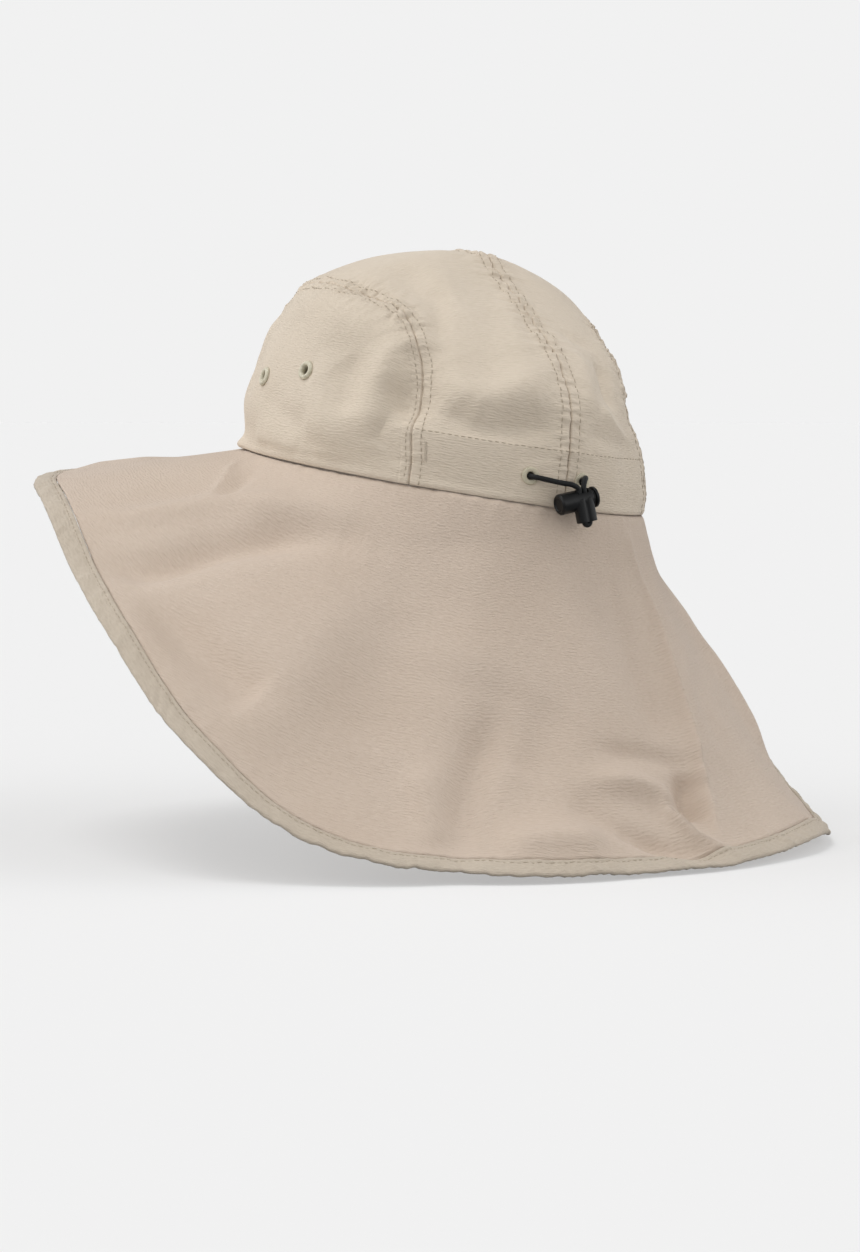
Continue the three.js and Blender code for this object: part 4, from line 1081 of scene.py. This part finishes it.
# Casing: a strip of the crown's cloth inside the back, sewn along both edges as a tunnel for the
# drawcord.
CASING_WALL = 0.0010
CASING_DEPTH = 0.0036
CURVE_GAP = 0.0008
CASING_ROWS, CASING_COLUMNS = 24, 150
casing_turn, casing_share = np.meshgrid(
    np.linspace(-43, 43, CASING_COLUMNS + 1), np.linspace(0, 1, CASING_ROWS + 1)
)
casing_bow = np.sin(np.pi * casing_share) ** 0.6
casing_height = (2 * GAP + casing_share * (CASING_HEIGHT - 2 * GAP)) / CROWN_HEIGHT
casing_wave = 0.0003 * ripple(casing_turn / 4, casing_share * 4, 3.0)
casing_in = CLOTH + CURVE_GAP + CASING_DEPTH * casing_bow + casing_wave * casing_bow
casing = sewn_cloth(
    "cord_casing_cloth", near_crown(casing_turn, casing_height, -casing_in),
    casing_turn / 360 * head_round, casing_height * CROWN_HEIGHT, CROWN_MIDDLE, crown_cloth,
    thickness=CASING_WALL,
)
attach(casing, "hat")
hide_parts("cord_casing")

# Drawcord: a thin round braid of black polyester, sewn into the casing at both ends. It comes out
# of the two rings, and both strands go down through the cord lock and join in a tight bight.
CORD_DIAMETER = 0.0024
BARREL_LENGTH = 0.0158
BARREL_RADIUS = 0.0046
NECK_LENGTH = 0.0096
NECK_WIDTH = 0.0088
NECK_DEPTH = 0.0058
NECK_PROUD = 0.0003
STRAND_GAP = 0.0003
LOCK_CLEARANCE = 0.0031
LOCK_TILT = math.radians(18)
LOCK_LEAN = math.radians(8)

# The route in the casing and to the lock: turn in degrees, share of the crown's height, and
# millimetres out from the crown's face
CORD_BEFORE_LOCK = [
    (41, 0.115, -3.4), (36, 0.115, -3.4), (31, 0.115, -3.4), (26, 0.115, -3.4),
    (21.5, 0.115, -3.4), (18, 0.115, -3.5), (15.8, 0.115, -3.6), (14.4, 0.115, -3.5),
    (13.2, 0.115, -3.1), (12.4, 0.115, -2.2), (11.9, 0.115, -0.9), (11.5, 0.114, 0.4),
    (11.0, 0.113, 1.7), (10.2, 0.112, 2.9), (8.8, 0.110, 3.8), (7.0, 0.107, 4.8),
    (5.2, 0.104, 6.2), (3.5, 0.102, 7.7), (1.8, 0.101, 8.9),
]
CORD_AFTER_LOCK = [
    (-2.0, 0.122, 8.6), (-2.8, 0.132, 7.2), (-3.6, 0.135, 5.2), (-4.3, 0.130, 3.2),
    (-4.8, 0.123, 1.1), (-5.1, 0.119, -0.3), (-5.6, 0.117, -1.8), (-6.6, 0.116, -3.0),
    (-8.1, 0.116, -3.5), (-10.5, 0.115, -3.5), (-14, 0.115, -3.4), (-19, 0.115, -3.4),
    (-24.5, 0.115, -3.4), (-30, 0.115, -3.4), (-35.5, 0.115, -3.4), (-41, 0.115, -3.4),
]
lock_middle = near_crown(np.array(0.0), 0.039, np.array(BARREL_RADIUS + LOCK_CLEARANCE))
lock_place = (
    Matrix.Translation(Vector(lock_middle))
    @ Matrix.Rotation(math.pi, 4, "Z")
    @ Matrix.Rotation(-LOCK_TILT, 4, "Y")
    @ Matrix.Rotation(-LOCK_LEAN, 4, "X")
)
neck_middle = (BARREL_LENGTH - NECK_WIDTH) / 2
strand_place = NECK_DEPTH / 2 - BARREL_RADIUS - NECK_PROUD
strand_shift = (CORD_DIAMETER + STRAND_GAP) / 2


def in_lock(x, z):
    return np.array(lock_place @ Vector((x, strand_place, z)))


def along_crown(rows):
    turn, height, out = np.array(rows).T
    return list(near_crown(turn, height, out / 1000))


strand = [BARREL_RADIUS + 0.0006, BARREL_RADIUS * 0.65]
strand += [-NECK_LENGTH * share for share in (0, 0.3, 0.65, 1)]
BIGHT_STEPS = 6
bight = [
    in_lock(
        neck_middle - strand_shift * math.cos(math.pi * i / BIGHT_STEPS),
        -NECK_LENGTH - strand_shift * math.sin(math.pi * i / BIGHT_STEPS),
    )
    for i in range(1, BIGHT_STEPS)
]
cord_route = along_crown(CORD_BEFORE_LOCK)
cord_route += [in_lock(neck_middle - strand_shift, z) for z in strand]
cord_route += bight
cord_route += [in_lock(neck_middle + strand_shift, z) for z in reversed(strand)]
cord_route += along_crown(CORD_AFTER_LOCK)
cord_route = np.array(cord_route)


def braided_polyester(name, tone, yarn_highlight_tone):
    """Tight round braid of black polyester: dull, with the crowns of its yarns painted lighter, as painted
    highlight.
    """
    finish, tree = new_finish(
        name, {"Roughness": 0.55, "Specular IOR Level": 0.25, "Sheen Weight": 0.05}
    )
    height = add_node(tree, "ShaderNodeAttribute", {"attribute_name": "braid"})
    # Painted highlight: the yarns' raised crowns get the lighter tone.
    coloured(tree, linear(tone), linear(yarn_highlight_tone), (height, "Fac"))
    return finish


CORD_TONE = "#08090A"
CORD_YARN_HIGHLIGHT_TONE = "#191B1D"
BRAID_YARNS = 8
BRAID_PITCH = 0.0042
BRAID_RELIEF = 0.00009
CORD_STEP = 0.0003
CORD_SIDES = 32
cord_line = smoothed(cord_route, 24)
cord_steps = np.linalg.norm(np.diff(cord_line, axis=0), axis=-1)
cord_length = float(np.sum(cord_steps))
cord_line = evenly(cord_line, int(cord_length / CORD_STEP))
cord_rings = len(cord_line) - 1
forward = unit(np.gradient(cord_line, axis=0))
across = np.zeros_like(forward)
across[0] = np.cross(forward[0], [0, 0, 1.0])
for i in range(1, len(forward)):
    across[i] = across[i - 1] - forward[i] * np.dot(across[i - 1], forward[i])
    across[i] /= np.linalg.norm(across[i])
across[0] /= np.linalg.norm(across[0])
upward = np.cross(forward, across)
bm = bmesh.new()
bmesh.ops.create_grid(bm, x_segments=CORD_SIDES, y_segments=cord_rings, size=1)
# How far each yarn's crown is raised, kept for the finish, which paints highlight by it.
braid = bm.verts.layers.float.new("braid")
for vert in bm.verts:
    ring = round((vert.co.y + 1) / 2 * cord_rings)
    angle = (vert.co.x + 1) * math.pi
    turns = 2 * math.pi * ring * CORD_STEP / BRAID_PITCH
    over = math.cos(BRAID_YARNS / 2 * angle + turns) * math.cos(BRAID_YARNS / 2 * angle - turns)
    raised = abs(over)
    vert[braid] = raised
    radius = CORD_DIAMETER / 2 - BRAID_RELIEF * (1 - raised)
    vert.co = cord_line[ring] + radius * (across[ring] * math.cos(angle) + upward[ring] * math.sin(angle))
bmesh.ops.remove_doubles(bm, verts=bm.verts, dist=1e-6)
bmesh.ops.holes_fill(bm, edges=[e for e in bm.edges if e.is_boundary])
bmesh.ops.recalc_face_normals(bm, faces=bm.faces)
braid_finish = braided_polyester("braided_polyester", CORD_TONE, CORD_YARN_HIGHLIGHT_TONE)
cord = piece_from("drawcord_braid", bm, braid_finish)
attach(cord, "hat")
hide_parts("drawcord")

# Cord lock: moulded black acetal. The barrel is fused with a twin-lobed neck for the cord's two
# strands, and a sprung plunger with a flat head slides in the barrel and pinches them.
BARREL_WALL = 0.00085
NECK_GROOVE = 0.0007
PLUNGER_TRAVEL = 0.0010
PLUNGER_HEAD = 0.0013
PLUNGER_STEM = 0.0125
LOCK_TONE = "#0B0C0D"
LOCK_WORN = "#1B1D20"
bore_radius = BARREL_RADIUS - BARREL_WALL
window_start = neck_middle - strand_shift - CORD_DIAMETER / 2 - GAP
window_end = neck_middle + strand_shift + CORD_DIAMETER / 2 + GAP
window_depth = CORD_DIAMETER + 2 * GAP


def moulded_acetal(name, tone, worn):
    """Moulded acetal from a spark-eroded mould: finely grained, dull black, greyer in random scuffs."""
    finish, tree = new_finish(name, {"Roughness": 0.36, "Specular IOR Level": 0.28})
    scuffs = grain(tree, 2.5, 4.0, 0.7)
    worn_share = add_node(
        tree, "ShaderNodeMapRange", None, {"From Min": 0.5, "From Max": 0.85}, {"Value": (scuffs, "Fac")}
    )
    coloured(tree, linear(tone), linear(worn), (worn_share, "Result"))
    bumped(tree, 0.35, 0.0001, (grain(tree, 0.35, 2.0), "Fac"))
    return finish


def rounded(corners, radius, steps=4):
    """An outline of radius and height whose corners are rounded, but for the first and last."""
    line = [corners[0]]
    for before, corner, after in zip(corners, corners[1:], corners[2:]):
        before, corner, after = Vector(before), Vector(corner), Vector(after)
        start = corner + (before - corner).normalized() * radius
        end = corner + (after - corner).normalized() * radius
        for i in range(steps + 1):
            t = i / steps
            line.append(tuple(start * (1 - t)**2 + corner * 2 * t * (1 - t) + end * t**2))
    return line + [corners[-1]]


def turned_on_x(outline, steps=48):
    """A solid of revolution round the x axis, from an outline that starts and ends on it."""
    bm = bmesh.new()
    verts = [bm.verts.new((height, 0, radius)) for radius, height in outline]
    edges = [bm.edges.new(pair) for pair in zip(verts, verts[1:])]
    bmesh.ops.spin(
        bm, geom=verts + edges, cent=(0, 0, 0), axis=(1, 0, 0), angle=2 * math.pi,
        steps=steps, use_merge=True,
    )
    bmesh.ops.remove_doubles(bm, verts=bm.verts, dist=1e-6)
    bmesh.ops.recalc_face_normals(bm, faces=bm.faces)
    return bm


def box_of(low, high):
    bm = bmesh.new()
    bmesh.ops.create_cube(bm, size=1)
    size = Vector(high) - Vector(low)
    middle = (Vector(high) + Vector(low)) / 2
    bmesh.ops.transform(bm, matrix=Matrix.Translation(middle) @ Matrix.Diagonal((*size, 1)), verts=bm.verts)
    return bm


def moulded(name, body, tools, finish):
    """Joins and cuts solids in turn, softens the edges as a mould does, and puts the piece in the
    lock's place. tools are pairs of a solid and UNION or DIFFERENCE."""
    made = piece_from(name, body, finish)
    helpers = []
    for solid, operation in tools:
        helper = piece_from(f"{name}_tool", solid, finish)
        helpers.append(helper)
        step = made.modifiers.new("join", "BOOLEAN")
        step.object = helper
        step.operation = operation
        step.solver = "EXACT"
    skin = made.modifiers.new("skin", "REMESH")
    skin.mode = "VOXEL"
    skin.voxel_size = 0.00016
    soften = made.modifiers.new("soften", "SMOOTH")
    soften.factor = 0.5
    soften.iterations = 5
    graph = bpy.context.evaluated_depsgraph_get()
    mesh = bpy.data.meshes.new_from_object(made.evaluated_get(graph))
    made.modifiers.clear()
    made.data = mesh
    mesh.name = name
    mesh.transform(lock_place)
    mesh.shade_smooth()
    for helper in helpers:
        bpy.data.objects.remove(helper)
    return made


def window_cutter(start, end):
    half = window_depth / 2
    return box_of(
        (start, strand_place - half, -NECK_LENGTH * 1.5), (end, strand_place + half, NECK_LENGTH * 1.5)
    )


acetal = moulded_acetal("moulded_acetal", LOCK_TONE, LOCK_WORN)
half = BARREL_LENGTH / 2
EDGE = 0.0007
barrel_body = turned_on_x(rounded([
    (0, -half + 0.0005),
    (BARREL_RADIUS * 0.62, -half + 0.0005),
    (BARREL_RADIUS * 0.68, -half),
    (BARREL_RADIUS - EDGE, -half),
    (BARREL_RADIUS, -half + EDGE),
    (BARREL_RADIUS, half - EDGE / 2),
    (BARREL_RADIUS - EDGE / 2, half),
    (0, half),
], 0.0002))
bore_cutter = turned_on_x([
    (0, -half + BARREL_WALL * 1.6),
    (bore_radius, -half + BARREL_WALL * 1.6),
    (bore_radius, half + 0.001),
    (0, half + 0.001),
])

# The neck's twin lobes: an outline drawn as two rounded lobes with a groove between them
LOBE_POINTS = 28
neck_outline = []
for i in range(2 * LOBE_POINTS):
    angle = math.pi * i / LOBE_POINTS
    x = NECK_WIDTH / 2 * math.copysign(abs(math.cos(angle)) ** 0.62, math.cos(angle))
    y = NECK_DEPTH / 2 * math.copysign(abs(math.sin(angle)) ** 0.55, math.sin(angle))
    y -= math.copysign(NECK_GROOVE * math.exp(-((x / 0.0008) ** 2)), y)
    neck_outline.append((neck_middle + x, strand_place + y))
neck = bmesh.new()
neck_rim = [neck.verts.new((x, y, -NECK_LENGTH)) for x, y in neck_outline]
neck_foot = neck.faces.new(neck_rim)
lifted = bmesh.ops.extrude_face_region(neck, geom=[neck_foot])["geom"]
raised = [item for item in lifted if isinstance(item, bmesh.types.BMVert)]
bmesh.ops.translate(neck, vec=(0, 0, NECK_LENGTH + 0.0004), verts=raised)
bmesh.ops.recalc_face_normals(neck, faces=neck.faces)
barrel = moulded("cord_lock_barrel_moulded", barrel_body, [
    (neck, "UNION"),
    (bore_cutter, "DIFFERENCE"),
    (window_cutter(window_start, window_end), "DIFFERENCE"),
], acetal)
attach(barrel, "hat")
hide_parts("cord_lock_barrel")

head_start = half + PLUNGER_TRAVEL + GAP
stem_radius = bore_radius - GAP
plunger_body = turned_on_x(rounded([
    (0, head_start - PLUNGER_STEM),
    (stem_radius, head_start - PLUNGER_STEM),
    (stem_radius, head_start),
    (BARREL_RADIUS, head_start),
    (BARREL_RADIUS, head_start + PLUNGER_HEAD),
    (0, head_start + PLUNGER_HEAD),
], 0.0003))
plunger = moulded("cord_lock_plunger_moulded", plunger_body, [
    (window_cutter(window_start, window_end + PLUNGER_TRAVEL), "DIFFERENCE"),
], acetal)
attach(plunger, "plunger")
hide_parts("cord_lock_plunger")


# Stage: a pale floor just under the hem, which leans with the camera and is seen almost edge on,
# broad soft boxes to the left, to the right and in front, and a lamp above. The floor is as bright
# as the backdrop, so no horizon shows, and both light the hat less than they look.
BACKDROP = 0.88
AMBIENT = 0.20
LEFT_BOX = 1.80
RIGHT_BOX = 1.88
FRONT_BOX = 0.80
LAMP = 0.26
LAMP_SPREAD = math.radians(26)
FLOOR_SIZE = 60.0
PAPER_GLOW = 0.44
PAPER_BOUNCE = 0.32
FLOOR_SEEN = math.radians(1.0)
floor_up = (camera_up * math.cos(FLOOR_SEEN) + towards_camera * math.sin(FLOOR_SEEN)).normalized()
LAMP_LEFT, LAMP_NEAR = 0.25, 0.10
lamp_from = (floor_up - camera_right * LAMP_LEFT + towards_camera * LAMP_NEAR).normalized()
level_towards = Vector((towards_camera.x, towards_camera.y, 0)).normalized()
boxes = ((-level_right, LEFT_BOX), (level_right, RIGHT_BOX), (level_towards, FRONT_BOX))
LOBE = 2
# The light on the open floor, from directions spread evenly over the whole sphere
DIRECTIONS = 20000
spread = np.arange(DIRECTIONS) + 0.5
sine = 1 - spread / (DIRECTIONS / 2)
swing = spread * math.pi * (1 + math.sqrt(5))
flat_part = np.sqrt(1 - sine**2)
directions = np.stack([flat_part * np.cos(swing), flat_part * np.sin(swing), sine], axis=-1)
light = AMBIENT + sum(box * np.maximum(directions @ np.array(facing), 0) ** LOBE for facing, box in boxes)
floor_light = LAMP * lamp_from.dot(floor_up)
floor_light += 4 * float(np.mean(light * np.maximum(directions @ np.array(floor_up), 0)))
paper_white = BACKDROP * (1 - PAPER_GLOW) / floor_light

world = bpy.data.worlds.new("studio")
bpy.context.scene.world = world
world.use_nodes = True
tree = world.node_tree
place = add_node(tree, "ShaderNodeTexCoord")
lit = add_node(tree, "ShaderNodeValue")
lit.outputs["Value"].default_value = AMBIENT
for facing, box in boxes:
    seen = add_node(
        tree, "ShaderNodeVectorMath", {"operation": "DOT_PRODUCT"}, {1: tuple(facing)},
        {0: (place, "Generated")},
    )
    front = add_node(tree, "ShaderNodeMath", {"operation": "MAXIMUM"}, {1: 0}, {0: (seen, "Value")})
    lobe = add_node(tree, "ShaderNodeMath", {"operation": "POWER"}, {1: LOBE}, {0: (front, "Value")})
    lit = add_node(
        tree, "ShaderNodeMath", {"operation": "MULTIPLY_ADD"}, {1: box},
        {0: (lobe, "Value"), 2: (lit, "Value")},
    )
ray = add_node(tree, "ShaderNodeLightPath")
strength = add_node(
    tree, "ShaderNodeMix", {"data_type": "FLOAT"}, {"B": BACKDROP},
    {"Factor": (ray, "Is Camera Ray"), "A": (lit, "Value")},
)
backdrop = tree.nodes["Background"]
backdrop.inputs["Color"].default_value = (1, 1, 1, 1)
tree.links.new(strength.outputs["Result"], backdrop.inputs["Strength"])

lamp_data = bpy.data.lights.new("softbox", "SUN")
lamp_data.energy = LAMP * math.pi
lamp_data.angle = LAMP_SPREAD
lamp = bpy.data.objects.new("softbox", lamp_data)
lamp.rotation_mode = "QUATERNION"
lamp.rotation_quaternion = lamp_from.to_track_quat("Z", "Y")
bpy.context.scene.collection.objects.link(lamp)
bpy.context.scene.view_settings.view_transform = "Standard"

paper, tree = new_finish(
    "studio_paper",
    {"Roughness": 1.0, "Specular IOR Level": 0.0, "Emission Color": (1, 1, 1, 1)},
)
ray = add_node(tree, "ShaderNodeLightPath")
coloured(tree, [PAPER_BOUNCE] * 3 + [1.0], [paper_white] * 3 + [1.0], (ray, "Is Camera Ray"))
glow = add_node(
    tree, "ShaderNodeMath", {"operation": "MULTIPLY"}, {1: BACKDROP * PAPER_GLOW},
    {0: (ray, "Is Camera Ray")},
)
tree.links.new(glow.outputs["Value"], tree.nodes["Principled BSDF"].inputs["Emission Strength"])
bm = bmesh.new()
bmesh.ops.create_grid(bm, x_segments=1, y_segments=1, size=FLOOR_SIZE)
UNDER_HEM = 0.0015
floor_level = float(np.min(hem_points @ np.array(floor_up))) - UNDER_HEM
turned = floor_up.to_track_quat("Z", "Y").to_matrix()
bmesh.ops.rotate(bm, cent=(0, 0, 0), matrix=turned, verts=bm.verts)
bmesh.ops.translate(bm, vec=floor_up * floor_level, verts=bm.verts)
floor = piece_from("floor", bm, paper, smooth=False)
